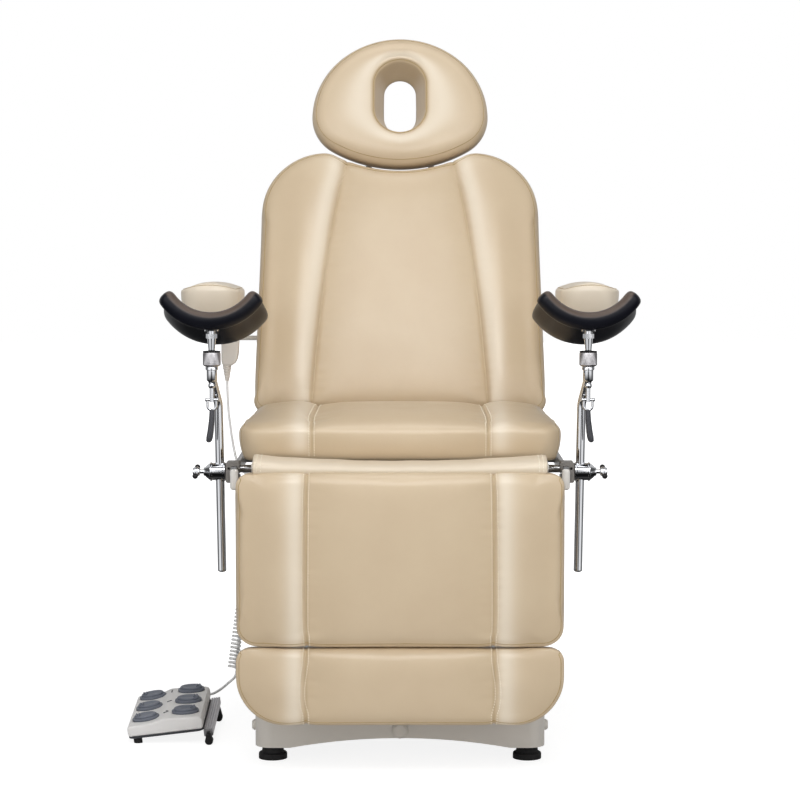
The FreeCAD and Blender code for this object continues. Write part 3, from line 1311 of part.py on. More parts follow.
def pedal_housing():
    """Sloping housing, hollow below, with six oval wells for the pedals."""
    up = Vector(0, 0, 1)
    shell = rounded(box(0, BOX_W, 0, BOX_D, BOX_PLATE_T, BOX_H), BOX_CORNER_R, up)
    shell = shell.makeFillet(BOX_EDGE_R, edges_at(shell, BOX_H))
    core = box(BOX_WALL, BOX_W - BOX_WALL, BOX_WALL, BOX_D - BOX_WALL, BOX_PLATE_T - 1, BOX_H - BOX_WALL)
    shell = shell.cut(rounded(core, BOX_CORNER_R - BOX_WALL, up))
    for x, y in pedal_places():
        well = oval(x, y, PEDAL_LEN, PEDAL_W, PEDAL_BASE - PEDAL_TRAVEL - 1, BOX_H - BOX_WALL / 2, BOX_WALL)
        hole = oval(x, y, PEDAL_LEN, PEDAL_W, 0, BOX_H + 1, PEDAL_GAP)
        shell = fused([shell, well]).cut(hole)
    relief_hole = bar(Vector(BOX_RELIEF_X, BOX_D - 2 * BOX_WALL, BOX_RELIEF_Z),
                      Vector(BOX_RELIEF_X, BOX_D + 1, BOX_RELIEF_Z), RELIEF_TIP_R + SEAT_GAP)
    return in_box(shell.cut(relief_hole))


BOX_RELIEF_X = BOX_W - 22.0
BOX_RELIEF_Z = 18.0


def pedal_base_plate():
    """Floor plate of the foot control with a stop post under each pedal."""
    plate = rounded(box(0, BOX_W, 0, BOX_D, 0, BOX_PLATE_T), BOX_CORNER_R, Vector(0, 0, 1))
    pieces = [plate]
    for x, y in pedal_places():
        pieces.append(bar(Vector(x, y, BOX_PLATE_T), Vector(x, y, PEDAL_BASE - PEDAL_TRAVEL - RUN_GAP), 7))
    return in_box(fused(pieces))


def pedal(x, y):
    """Oval pedal in two tiers with six small nubs at its outer end."""
    top = BOX_H + PEDAL_PROUD
    tier = top - PEDAL_STEP
    low = oval(x, y, PEDAL_LEN, PEDAL_W, PEDAL_BASE, tier)
    high = oval(x, y, PEDAL_LEN, PEDAL_W, tier, top, -PEDAL_STEP)
    body = fused([low, high.makeFillet(PEDAL_STEP / 2, edges_at(high, top))])
    outer = -1 if x < BOX_W / 2 else 1
    nubs = []
    for column in (0, 1):
        nub_x = x + outer * (PEDAL_LEN / 2 - PEDAL_STEP - 1.6 * NUB_PITCH - column * NUB_PITCH)
        for row in (-1, 0, 1):
            nub_y = y + row * NUB_PITCH
            nubs.append(bar(Vector(nub_x, nub_y, top - NUB_H), Vector(nub_x, nub_y, top + NUB_H), NUB_R))
    return in_box(fused([body] + nubs))


def pedal_box_feet():
    """Rubber feet under the low side of the foot control, cut flat on the floor."""
    reach = 2 * BOX_FOOT_H + BOX_D * math.sin(math.radians(BOX_PITCH))
    feet = []
    for y in (BOX_FOOT_R + BOX_WALL, BOX_D - BOX_FOOT_R - BOX_WALL):
        pad = bar(Vector(2 * BOX_FOOT_R, y, -reach), Vector(2 * BOX_FOOT_R, y, 0), BOX_FOOT_R)
        feet.append(on_floor(in_box(pad)))
    return feet


def pedal_handle_bar():
    """Grooved metal bar along the raised side of the foot control."""
    x0 = BOX_W
    top = BAR_H - BAR_DROP
    block = rounded(box(x0, x0 + BAR_W, 0, BOX_D, -BAR_DROP, top), BOX_PLATE_T / 2, Vector(0, 1, 0))
    grooves = []
    for i in range(1, 4):
        x = x0 + i * BAR_W / 4
        grooves.append(box(x - BAR_GROOVE / 2, x + BAR_GROOVE / 2, -1, BOX_D + 1, top - BAR_GROOVE, top + 1))
    return in_box(block.cut(grooves))


def pedal_bar_ends():
    """Teardrop end caps, round on the floor and pointed above, that hold the two ends of the bar."""
    x = BOX_W + BAR_W / 2
    peak = BAR_H - BAR_DROP - BAR_END_RISE / 2
    ends = []
    for y0 in (-BAR_END_T, BOX_D):
        level = in_box(Part.Vertex(x, y0 + BAR_END_T / 2, 0)).Point.z
        low = BAR_END_R - level
        round_foot = bar(Vector(x, y0, low), Vector(x, y0 + BAR_END_T, low), BAR_END_R)
        taper = Part.Face(Part.makePolygon([
            Vector(x - BAR_END_R, y0, low), Vector(x + BAR_END_R, y0, low),
            Vector(x + BAR_END_R / 3, y0, peak), Vector(x - BAR_END_R / 3, y0, peak),
            Vector(x - BAR_END_R, y0, low),
        ])).extrude(Vector(0, BAR_END_T, 0))
        ends.append(on_floor(in_box(fused([round_foot, taper]))))
    return ends


# Reliefs, handset and control box

def ribbed_relief(root, direction, length, r_root, r_tip, ribs):
    """Tapered strain relief with raised rings, bored for its cord."""
    along = Vector(direction.x, direction.y, direction.z).normalize()
    circles = []
    pitch = length / ribs
    for i in range(ribs):
        shrink = r_root + (r_tip - r_root) * i / ribs
        for share, radius in ((0.0, shrink), (0.45, shrink), (0.55, shrink - 1.2), (0.95, shrink - 1.2)):
            centre = root + along * (pitch * (i + share))
            circles.append(Part.Wire([Part.makeCircle(radius, centre, along)]))
    body = Part.makeLoft(circles, True, True)
    bore = bar(root - along, root + along * (length + 1), CORD_R + SEAT_GAP)
    return body.cut(bore)


RELIEF_X = HANDSET_X - 9.0


def handset_case():
    """Hand control hung beside the backrest, face to the front, on a hook behind it."""
    half = HANDSET_W / 2
    y0 = HANDSET_Y - HANDSET_T / 2
    case = box(HANDSET_X - half, HANDSET_X + half, y0, y0 + HANDSET_T, HANDSET_LOW, HANDSET_LOW + HANDSET_H)
    case = rounded(case, 9, Vector(0, 1, 0))
    front = [e for e in case.Edges if abs(e.BoundBox.YMax - y0) < 1e-4]
    case = case.makeFillet(4, front)
    panel = rounded(box(HANDSET_X - half + 7, HANDSET_X + half - 7, y0 - 1, y0 + 0.8,
                        HANDSET_LOW + 16, HANDSET_LOW + HANDSET_H - 14), 4, Vector(0, 1, 0))
    relief = ribbed_relief(Vector(RELIEF_X, HANDSET_Y, HANDSET_LOW), Vector(0, 0, -1), RELIEF_LEN,
                           RELIEF_R, RELIEF_TIP_R, RELIEF_RIBS)
    return fused([case.cut(panel), relief])


def handset_hook():
    """Bent rod from the backrest frame to a plate behind the handset."""
    level = HANDSET_LOW + HANDSET_H * 0.6
    up = (level - back_frame_point(0, 0, BACK_BASE - BACK_RAIL_T / 2).z) / math.cos(math.radians(BACK_LEAN))
    root = back_frame_point(-BACK_RAIL_X, up, BACK_BASE - BACK_RAIL_T / 2)
    back_y = HANDSET_Y + HANDSET_T / 2
    turn = Vector(HANDSET_X, root.y, root.z)
    seat = Vector(HANDSET_X, back_y, root.z)
    plate = box(HANDSET_X - 14, HANDSET_X + 14, back_y, back_y + 4, root.z - 22, root.z + 16)
    return fused([bar(root, turn, 5), Part.makeSphere(5, turn), bar(turn, seat, 5), plate])


def control_box():
    """Control unit under the seat board, with its two sockets."""
    x0, x1 = CONTROL_X - CONTROL_W / 2, CONTROL_X + CONTROL_W / 2
    low = TUBE_BOTTOM - CONTROL_H
    unit = rounded(box(x0, x1, CONTROL_Y, CONTROL_Y + CONTROL_L, low, TUBE_BOTTOM), 6, Vector(0, 0, 1))
    sockets = [
        bar(BOX_SOCKET - Vector(0, 14, 0), BOX_SOCKET, 9),
        bar(HAND_SOCKET + Vector(14, 0, 0), HAND_SOCKET, 9),
    ]
    return fused([unit] + sockets)


BOX_SOCKET = Vector(CONTROL_X - 16, CONTROL_Y + CONTROL_L + 10, TUBE_BOTTOM - CONTROL_H / 2)
HAND_SOCKET = Vector(CONTROL_X - CONTROL_W / 2 - 10, CONTROL_Y + CONTROL_L / 2, TUBE_BOTTOM - CONTROL_H / 2)


# Cords

def cord_path(points):
    """Straight runs joined by arcs, each as large as its two runs allow; prints the arcs' radii."""
    edges, radii = [], []
    start = points[0]
    for before, corner, after in zip(points, points[1:], points[2:]):
        back, ahead = before - corner, after - corner
        shorter = min(back.Length, ahead.Length)
        turn = math.pi - back.getAngle(ahead)
        radius = 0.45 * shorter / math.tan(turn / 2)
        cut = 0.45 * shorter
        back.normalize()
        ahead.normalize()
        enter, leave = corner + back * cut, corner + ahead * cut
        bisector = (back + ahead).normalize()
        middle = corner + bisector * (radius / math.cos(turn / 2) - radius)
        edges.append(line(start, enter))
        edges.append(arc(enter, middle, leave))
        radii.append(round(radius, 1))
        start = leave
    edges.append(line(start, points[-1]))
    print("cord radii", radii)
    return edges


def tube_along(name, edges):
    """Round cord along joined edges; prints its length and how its volume agrees with it."""
    path = Part.Wire(edges)
    start = path.Edges[0]
    ahead = start.tangentAt(start.FirstParameter)
    profile = Part.Wire([Part.makeCircle(CORD_R, edges[0].Vertexes[0].Point, ahead)])
    tube = path.makePipeShell([profile], True, False)
    share = tube.Volume / (math.pi * CORD_R ** 2 * path.Length)
    print(name, "length", round(path.Length, 1), "volume share", round(share, 4))
    return tube


def biarc(p0, t0, p1, t1):
    """Two tangent arcs from p0 to p1 with the given end directions."""
    v = p1 - p0
    t = t0 + t1
    k = 2 * (1 - t0.dot(t1))
    vt = v.dot(t)
    d = (-vt + math.sqrt(vt * vt + k * v.dot(v))) / k
    joint = (p0 + t0 * d + p1 - t1 * d) * 0.5

    def swing(a, direction, b):
        chord = b - a
        along = chord * (1 / chord.Length)
        aside = direction - along * direction.dot(along)
        lean = math.atan2(aside.Length, direction.dot(along))
        aside.normalize()
        return arc(a, (a + b) * 0.5 + aside * (chord.Length / 2 * math.tan(lean / 2)), b)

    return [swing(p0, t0, joint), swing(joint, (joint - (p1 - t1 * d)).normalize() * -1, p1)]


def coil_edges():
    """Curly part of the pedal cord: straight lead, helix of half-turn biarcs, straight lead."""
    slope = COIL_PITCH / (2 * math.pi)

    def at(turn):
        return Vector(COIL_R * math.cos(turn), COIL_R * math.sin(turn), slope * turn)

    def heading(turn):
        return Vector(-COIL_R * math.sin(turn), COIL_R * math.cos(turn), slope).normalize()

    up = Vector(0, 0, 1)
    last = math.pi * 2 * COIL_TURNS
    entry = Vector(COIL_R, -COIL_LEAD, -COIL_LEAD - 2)
    leave = Vector(COIL_R, COIL_LEAD, slope * last + COIL_LEAD + 2)
    lead = up * (2 * CORD_R)
    edges = [line(entry - lead, entry)] + biarc(entry, up, at(0), heading(0))
    for i in range(2 * COIL_TURNS):
        a, b = math.pi * i, math.pi * (i + 1)
        edges += biarc(at(a), heading(a), at(b), heading(b))
    edges += biarc(at(last), heading(last), leave, up)
    edges.append(line(leave, leave + lead))
    for edge in edges:
        edge.rotate(Vector(0, 0, 0), Vector(0, 1, 0), COIL_LEAN)
        edge.translate(COIL_FOOT)
    return edges


def least_gap(path):
    """Smallest clear distance between stretches of the coil that aren't neighbours along it."""
    points = path.discretize(Distance=1.5)
    skip = int(6 * CORD_R / 1.5)
    reach = int(2.2 * math.pi * 2 * COIL_R / 1.5)
    least = 1e9
    for i in range(0, len(points), 2):
        for j in range(i + skip, min(i + reach, len(points))):
            least = min(least, points[i].distanceToPoint(points[j]))
    return least - 2 * CORD_R


COIL = coil_edges()
COIL_LOW_END = COIL[0].Vertexes[0].Point
COIL_HIGH_END = COIL[-1].Vertexes[-1].Point
COIL_AXIS = FreeCAD.Rotation(Vector(0, 1, 0), COIL_LEAN).multVec(Vector(0, 0, 1))

BOX_RELIEF_ROOT = in_box(Part.Vertex(BOX_RELIEF_X, BOX_D, BOX_RELIEF_Z)).Point
BOX_RELIEF_WAY = box_way(Vector(0, 1, 0))
BOX_CORD_EXIT = BOX_RELIEF_ROOT + BOX_RELIEF_WAY * BOX_RELIEF_LEN
HAND_CORD_EXIT = Vector(RELIEF_X, HANDSET_Y, HANDSET_LOW - RELIEF_LEN)

PEDAL_ROUTE = [
    BOX_CORD_EXIT,
    BOX_CORD_EXIT + BOX_RELIEF_WAY * 26,
    Vector(-414, 268, 74),
    Vector(-392, 275, 69),
    Vector(-375, 265, 66),
    Vector(-365, 246, 70),
    COIL_LOW_END - COIL_AXIS * 22,
    COIL_LOW_END,
]
COIL_TO_SOCKET = [
    COIL_HIGH_END,
    COIL_HIGH_END + COIL_AXIS * 25,
    Vector(-312, 250, 510),
    Vector(-294, 252, 530),
    Vector(-274, 243, 543),
    BOX_SOCKET + Vector(0, 22, 0),
    BOX_SOCKET,
]
HAND_ROUTE = [
    HAND_CORD_EXIT,
    Vector(-373, 234, 690),
    Vector(-367, 226, 641),
    Vector(-359, 209, 597),
    Vector(-350, 187, 567),
    Vector(-340, 164, 554),
    Vector(-330, 143, 550),
    HAND_SOCKET + Vector(-22, 0, 0),
    HAND_SOCKET,
]


def pedal_cord():
    """Foot control's cord in one piece: lead from the relief, curly part, lead to the socket."""
    print("coil length", round(Part.Wire(COIL).Length, 1), "least gap", round(least_gap(Part.Wire(COIL)), 2))
    return tube_along("pedal_cord", cord_path(PEDAL_ROUTE) + COIL + cord_path(COIL_TO_SOCKET))


# Nodes

def node(name, shape):
    parts[name] = shape


node("base_frame", base_frame())
node("base_cover", cover_with_cap_holes())
node("cover_screw_caps", cover_caps())
node("levelling_feet", levelling_feet())
node("column_outer", column_outer())
node("column_glide", column_glide())
node("lift_motor", lift_motor())
node("pedal_housing", pedal_housing())
node("pedal_base_plate", pedal_base_plate())
node("pedal_box_feet", Part.Compound(pedal_box_feet() + pedal_bar_ends()))
node("pedal_handle_bar", pedal_handle_bar())
for number, (pedal_x, pedal_y) in enumerate(pedal_places(), 1):
    node("pedal_%d" % number, pedal(pedal_x, pedal_y))
node("pedal_cord_relief", ribbed_relief(BOX_RELIEF_ROOT, BOX_RELIEF_WAY, BOX_RELIEF_LEN,
                                        RELIEF_R - 1, RELIEF_TIP_R, RELIEF_RIBS))
node("pedal_cord", pedal_cord())
node("column_inner", column_inner())
node("seat_frame", seat_frame())
node("seat_cushion", seat_cushion())
node("seat_flap", seat_flap())
node("side_rails", side_rails())
node("rail_jaws", rail_jaws())
node("control_box", control_box())
node("back_actuator", actuator(ACT_X, BACK_MOUTH, 1, BACK_ACT_LEVEL, BACK_STROKE))
node("back_actuator_rod", actuator_rod(ACT_X, BACK_PIN, BACK_FALL, BACK_MOUTH, 1, BACK_ACT_LEVEL, BACK_STROKE))
node("leg_actuator", actuator(-ACT_X, LEG_MOUTH, -1, LEG_ACT_LEVEL, LEG_STROKE))
node("leg_actuator_rod", actuator_rod(-ACT_X, LEG_PIN, LEG_FALL, LEG_MOUTH, -1, LEG_ACT_LEVEL, LEG_STROKE))
node("back_frame", back_frame())
node("back_cushion", back_cushion())
node("headrest_frame", headrest_frame())
node("headrest_cushion", head_cushion())
node("handset_case", handset_case())
node("handset_cord", tube_along("handset_cord", cord_path(HAND_ROUTE)))
node("legrest_frame", legrest_frame())
node("legrest_cushion", legrest_cushion())
node("footrest_rails", footrest_rails())
node("footrest_cushion", footrest_cushion())
for build, name in (
    (armrest_cushion, "armrest_pad"), (armrest_arm, "armrest_arm"), (jaw_lever, "jaw_lever"),
    (swivel_clamp, "swivel_clamp"),
    (clamp_screw, "clamp_screw"), (support_rod, "support_rod"), (ball_collar, "ball_collar"),
    (cam_lever, "cam_lever"), (ball_stud, "ball_stud"), (knee_trough, "knee_trough"),
):
    right = build()
    node("right_" + name, right)
    node("left_" + name, mirrored(right))

os.makedirs("parts", exist_ok=True)
for name, shape in parts.items():
    for solid in shape.Solids:
        if not solid.isValid():
            print("check solid in", name)
    shape.exportStep("parts/%s.step" % name)
print(len(parts), "nodes")
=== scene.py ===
import math
import bpy
import numpy as np
from mathutils import Matrix, Vector
from mathutils.bvhtree import BVHTree


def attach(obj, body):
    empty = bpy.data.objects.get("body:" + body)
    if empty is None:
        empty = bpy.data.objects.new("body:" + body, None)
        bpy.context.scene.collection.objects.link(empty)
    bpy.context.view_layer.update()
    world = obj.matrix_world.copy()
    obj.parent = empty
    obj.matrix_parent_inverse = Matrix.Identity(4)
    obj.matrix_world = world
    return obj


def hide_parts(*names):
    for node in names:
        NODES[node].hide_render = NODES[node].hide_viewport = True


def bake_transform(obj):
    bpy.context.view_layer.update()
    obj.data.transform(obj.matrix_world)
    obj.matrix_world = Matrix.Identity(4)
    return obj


# Gynaecological examination chair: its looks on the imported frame, in metres.
# X runs across the chair, Y from its front (foot end) to its rear, Z up.

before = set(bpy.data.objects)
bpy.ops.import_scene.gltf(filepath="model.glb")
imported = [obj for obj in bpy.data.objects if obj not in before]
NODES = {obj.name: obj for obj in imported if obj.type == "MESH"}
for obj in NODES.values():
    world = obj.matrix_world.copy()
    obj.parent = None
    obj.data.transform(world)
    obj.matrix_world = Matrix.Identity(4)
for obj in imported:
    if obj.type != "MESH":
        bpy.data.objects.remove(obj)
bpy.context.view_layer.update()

# Camera
CAMERA_PLACE = Vector((0.0, -4.945, 1.112))
CAMERA_DIP = 4.56
CAMERA_LENS = 108.0

# Light: the direction the studio is brightest from, and its level there and opposite
STUDIO_FRONT = (0.0, -0.86, 0.51)
STUDIO_FULL = 0.40
STUDIO_DIM = 0.10

# What mirrors see round them: half a turn from the front to the rear, and the level there
STUDIO_BANDS = (
    (0.0, 0.10), (0.05, 0.14), (0.10, 0.92), (0.34, 0.96),
    (0.42, 0.20), (0.55, 0.10), (0.70, 0.60), (1.0, 0.45),
)

# Lamps: name, place, point aimed at, width and height, power; the paired ones stand on both sides
LAMP_AIM = (0, 0, 0.75)
LAMPS = (
    ("key_light", (0, -2.1, 2.3), LAMP_AIM, (2.1, 0.8), 30.5),
    ("top_light", (0, -0.45, 3.4), (0, -0.1, 0.6), (1.6, 1.2), 15),
)
PAIRED_LAMPS = (
    ("strip_light", (0.85, -3.3, 1.25), LAMP_AIM, (0.5, 1.6), 4),
    ("side_light", (2.3, -2.7, 1.7), LAMP_AIM, (0.9, 1.6), 7),
)

# Upholstery: half the width of the frame's pads, and how far the covers stand out past it
PAD_HALF = 0.310
PAD_SWELL = 0.010
BACK_SWELL = 0.009
PAD_TAPER = 0.003
FACE_DROP = 0.004
BOLSTER_CREST = 0.42
BOLSTER_EASE = 0.08
END_EASE = 0.12
LEAST_CORNER_R = 0.003
SEAT_PLACE = Vector((0.0, -0.250, 0.615))
SEAT_T = 0.090
SEAT_DEPTH = 0.450
SEAT_SEAM = 0.174
SEAT_EDGE_R = 0.034
LEG_PLACE = Vector((0.0, -0.267, 0.261))
LEG_T = 0.085
LEG_LEN = 0.341
LEG_SEAM = 0.181
LEG_EDGE_R = 0.024
LEG_CORNER_R = 0.040
FOOT_PLACE = Vector((0.0, -0.267, 0.107))
FOOT_LEN = 0.1525
FOOT_SEAM = 0.183
FOOT_CORNER_R = 0.095
BACK_HINGE = Vector((0.0, 0.268, 0.620))
BACK_LEAN = math.radians(18.0)
BACK_START = 0.036
BACK_BASE = -0.005
BACK_T = 0.090
BACK_LEN = 0.592
BACK_SEAM_LOW = 0.190
BACK_SEAM_HIGH = 0.111
BACK_EDGE_R = 0.032
BACK_CORNER_R = 0.030
SHOULDER_R = 0.143
PEAK_R = 0.040
HOLLOW_R = 0.312
HEAD_GAP = 0.009
HEAD_HALF = 0.196
HEAD_LEN = 0.300
HEAD_T = 0.086
HEAD_EDGE_R = 0.034
HEAD_RIM_DROP = 0.011
HEAD_FACE_DROP = 0.003
HEAD_DISH = 0.0072
HEAD_BASE_TURN = math.radians(31.0)
HEAD_FLANK_TURN = math.radians(50.0)
FACE_HOLE_HALF = 0.056
FACE_HOLE_LEN = 0.166
FACE_HOLE_TAPER = 0.022
FACE_HOLE_CENTRE = 0.158
ARM_X = 0.391
ARM_FRONT_Y = -0.045
ARM_FRONT_TOP = 0.963
ARM_LEN = 0.405
ARM_HALF = 0.061
ARM_T = 0.072
ARM_RISE = math.radians(-1.9)
ARM_CORNER_R = 0.046
ARM_REAR_R = 0.040
ARM_EDGE_R = 0.020
ARM_FALL = 0.012
FLAP_HALF = 0.286
FLAP_T = 0.0024
FLAP_SAG = 0.013
FLAP_WAVE = 0.0007
FLAP_ROWS = 15
FLAP_COLUMNS = 73
FLAP_SEAT_END = np.array([-0.2525, 0.630])
FLAP_CREST = np.array([-0.3120, 0.6250])
FLAP_LEG_END = np.array([-0.3230, 0.5985])

# Sewing
STITCH_R = 0.0010
STITCH_LEN = 0.0040
STITCH_PITCH = 0.0054
STITCH_GAP = 0.0052
STITCH_SLANT = math.radians(20)
SEAM_BAND = (-0.0105, -0.0052, -0.0025, 0.0, 0.0025, 0.0052, 0.0105)
SEAM_SINK = 0.0040
SEAM_HALF = 0.0058
DIP = 0.0022
DIP_HALF = 0.020
GATHER = 0.00045
GATHER_AT = 0.011
GATHER_REACH = 0.010
CREASE = 0.0012
CREASE_HALF = 0.0016
WELT_R = 0.0008

# Shares of the painted shade, deeper at seams, low on the sides, towards the outer edges and beside seams,
# and of the painted highlight on crowns
PAINTED_SEAM_SHADE = 0.34
PAINTED_LOW_SHADE = 0.22
PAINTED_OUTER_SHADE = 0.13
PAINTED_INNER_SHADE = 0.14
PAINTED_CROWN_HIGHLIGHT = 0.55

# Cloth run of the covers
COVER_CLOTH = {
    "quality": 5, "mass": 0.3, "tension_stiffness": 18, "compression_stiffness": 18, "shear_stiffness": 8,
    "bending_stiffness": 2.0, "use_pressure": True, "vertex_group_mass": "held",
}
COVER_FRAMES = 20

# Knee supports
STEM_X = 0.370
STEM_Y = -0.238
TROUGH_SEAT_Z = 0.881
TROUGH_BACK = 0.052
TROUGH_TILT = math.radians(13.0)
TROUGH_AXIS_UP = 0.112
TROUGH_WRAP = math.radians(54.0)
TROUGH_SEAM_R = 0.1128
TROUGH_SEAM_IN = 0.056
TROUGH_SEAM_THICK = 0.0010
TROUGH_SEAM_TURN = 1.02 * TROUGH_WRAP
HORN_R = 0.100
HORN_SHORTEN = 0.35
LINING_BLEND = 0.004
COLLAR_LOW = 0.790
COLLAR_R = 0.0178
COLLAR_RIDGES = 56
GROOVE_SHARE = 0.972
# Thin dark ring on the collar's top: painted shadow of its top rim
SHADOW_RING_MAJOR_R = 0.0161
SHADOW_RING_MINOR_R = 0.0014
SHADOW_RING_UP = 0.0418
STEM_OVERLAP = 0.010
BAR_SIDES = 24
BEND_STEPS = 24
ROD_R = 0.0088
ROD_FOOT = Vector((0.3537, -0.215, 0.396))
ROD_BEND = Vector((0.3590, -0.215, 0.728))
ROD_BEND_RUN = 0.009
LEVER_PIN_Z = 0.737
BOW_LEG = 0.0117
BOW_HALF = 0.0088
BOW_R = 0.0026
PIN_LEN = 0.022
PIN_R = 0.0028
PIN_HEAD_R = 0.0040
PIN_HEAD_X = 0.0105
GRIP_DROP = 0.0190
GRIP_CURVE = 0.0070
CLAMP_Y = -0.215
RAIL_Z = 0.5925
BARREL_X = 0.345
T_BAR_TILT = math.radians(11.0)
T_BAR_HALF = 0.030
T_KNOB_R = 0.0056
T_BAR_R = 0.0034
T_BAR_OUT = 0.0585
LOCK_X = 0.3270
LOCK_Y = -0.2425
LOCK_Z = 0.5800
LOCK_SIZE = (0.016, 0.0132, 0.043)
LOCK_ROUND = 0.0064

# Hand control
HANDSET_Y = 0.236
HANDSET_D = 0.025
HANDSET_LOW = 0.7735
HANDSET_ROUND = 0.0050

# Foot control
BOX_PLACE = Vector((-0.566, -0.015, 0.009))
BOX_TILT = math.radians(7.0)
BOX_PITCH = math.radians(6.0)
BOX_TURN = Matrix.Rotation(BOX_PITCH, 4, "X") @ Matrix.Rotation(-BOX_TILT, 4, "Y")
BOX_FRAME = Matrix.Translation(BOX_PLACE) @ BOX_TURN
BOX_D = 0.215
PEDAL_FIRST = 0.040
PEDAL_PITCH = 0.074
PEDAL_HALF_LEN = 0.028
PEDAL_HALF_W = 0.0190
PEDAL_GAP = 0.0014
BOX_ROUND = 0.0042
NUB_R = 0.0021
NUB_UP = 0.0106
NUB_X = 0.0185
NUB_PITCH_X = 0.0055
NUB_PITCH_Y = 0.0056
MARK_W = 0.0026
MARK_T = 0.0012
MARK_UP = 0.0353

# Columns of pedals: place across, level of the housing there, outer side, lean in degrees
PEDAL_COLUMNS = ((0.037, 0.0280, -1, 3.0), (0.121, 0.0328, 1, -3.6))

# Strokes between the pedals: place across and along, turn in degrees, length
STROKES = (
    (0.0790, 0.190, 0.0, 0.014), (0.0800, 0.121, -52.0, 0.011),
    (0.0790, 0.046, -48.0, 0.011), (0.0815, 0.0525, 40.0, 0.007),
)

# Cords
CORD_R = 0.0027
COIL_R = 0.0090
COIL_PITCH = 0.0084
COIL_TURNS = 30
COIL_STEPS = 14
COIL_FOOT = Vector((-0.3655, 0.235, 0.111))
COIL_LEAN = math.radians(7.8)
BOX_SOCKET = Vector((-0.262, 0.200, 0.549))
HAND_SOCKET = Vector((-0.296, 0.125, 0.549))
BOX_CORD_EXIT = BOX_FRAME @ Vector((0.136, 0.241, 0.018))
BOX_CORD_BEND = BOX_FRAME @ Vector((0.136, 0.267, 0.018))
HAND_CORD_EXIT = Vector((-0.374, 0.236, 0.740))
COIL_LEAD = (0.009, 0.0144)
COIL_LEAD_RUN = 0.011
PLUG_RUN = 0.022
PEDAL_ROUTE_LOW = (
    (-0.428, 0.270, 0.052), (-0.416, 0.262, 0.047), (-0.402, 0.240, 0.057),
    (-0.386, 0.212, 0.072), (-0.3691, 0.1976, 0.0889), (-0.3611, 0.2016, 0.0949),
)
PEDAL_ROUTE_HIGH = ((-0.306, 0.250, 0.500), (-0.292, 0.252, 0.528), (-0.274, 0.243, 0.543))
HAND_ROUTE = (
    (-0.373, 0.234, 0.690), (-0.367, 0.226, 0.641), (-0.359, 0.209, 0.597),
    (-0.350, 0.187, 0.567), (-0.340, 0.164, 0.554), (-0.330, 0.143, 0.550),
)


# Scene helpers

def clear_selection():
    if bpy.context.mode != "OBJECT":
        bpy.ops.object.mode_set(mode="OBJECT")
    bpy.ops.object.select_all(action="DESELECT")


def take(obj):
    """Makes one object the only selected and active one."""
    clear_selection()
    obj.select_set(True)
    bpy.context.view_layer.objects.active = obj
    return obj


def apply_modifiers(obj):
    take(obj)
    for modifier in list(obj.modifiers):
        bpy.ops.object.modifier_apply(modifier=modifier.name)


def smooth(obj, angle=None):
    take(obj)
    if angle is None:
        bpy.ops.object.shade_smooth()
    else:
        bpy.ops.object.shade_smooth_by_angle(angle=math.radians(angle))


def subdivided(obj, levels):
    modifier = obj.modifiers.new("smooth", "SUBSURF")
    modifier.levels = levels
    modifier.render_levels = levels
    apply_modifiers(obj)


def edit_all(obj):
    """Opens an object in edit mode with everything selected."""
    take(obj)
    bpy.ops.object.mode_set(mode="EDIT")
    bpy.ops.mesh.select_all(action="SELECT")


def face_outwards(obj):
    edit_all(obj)
    bpy.ops.mesh.normals_make_consistent(inside=False)
    bpy.ops.object.mode_set(mode="OBJECT")


def join_into(obj, others):
    take(obj)
    for other in others:
        other.select_set(True)
    bpy.ops.object.join()
    return obj


def bevelled(obj, width, segments, angle=None):
    """Rounds an object's edges, where an angle is given only the ones sharper than it."""
    bevel = obj.modifiers.new("edges", "BEVEL")
    bevel.width = width
    bevel.segments = segments
    if angle is not None:
        bevel.limit_method = "ANGLE"
        bevel.angle_limit = math.radians(angle)
    apply_modifiers(obj)


def added(primitive, name, **sizes):
    """Adds a primitive mesh at the origin under a name."""
    clear_selection()
    primitive(**sizes)
    obj = bpy.context.object
    obj.name = name
    return obj


def outline(name, points, fill):
    """Ring of vertices at the given places, open or filled."""
    obj = added(bpy.ops.mesh.primitive_circle_add, name, vertices=len(points), radius=0.1, fill_type=fill)
    for vertex, point in zip(obj.data.vertices, points):
        vertex.co = point
    return obj


def extruded(name, points, way):
    """Solid with the given outline, drawn out along a vector."""
    obj = outline(name, points, "NGON")
    edit_all(obj)
    bpy.ops.mesh.extrude_region_move(TRANSFORM_OT_translate={"value": way})
    bpy.ops.object.mode_set(mode="OBJECT")
    face_outwards(obj)
    return obj


def ball(name, radius, place, segments, rings, tall=1.0):
    sphere = bpy.ops.mesh.primitive_uv_sphere_add
    obj = added(sphere, name, segments=segments, ring_count=rings, radius=radius)
    obj.data.transform(Matrix.Translation(place) @ Matrix.Diagonal((1, 1, tall, 1)))
    return obj


def block(name, place, size):
    obj = added(bpy.ops.mesh.primitive_cube_add, name, size=1)
    obj.data.transform(place @ Matrix.Diagonal((*size, 1)))
    return obj


def mesh_object(name, points, faces):
    mesh = bpy.data.meshes.new(name)
    mesh.from_pydata([tuple(p) for p in points], [], [tuple(f) for f in faces])
    mesh.update()
    obj = bpy.data.objects.new(name, mesh)
    bpy.context.scene.collection.objects.link(obj)
    return obj


def numbers(items, field):
    """One number of each item as an array."""
    values = np.empty(len(items), dtype=np.float32)
    items.foreach_get(field, values)
    return values.astype(float)


def vectors(items, field):
    """One vector of each item as the rows of an array."""
    values = np.empty(len(items) * 3, dtype=np.float32)
    items.foreach_get(field, values)
    return values.reshape(-1, 3).astype(float)


def coordinates(mesh):
    return vectors(mesh.vertices, "co")


def set_coordinates(mesh, points):
    mesh.vertices.foreach_set("co", np.asarray(points, dtype=np.float32).ravel())
    mesh.update()


def normals(mesh):
    return vectors(mesh.vertex_normals, "vector")


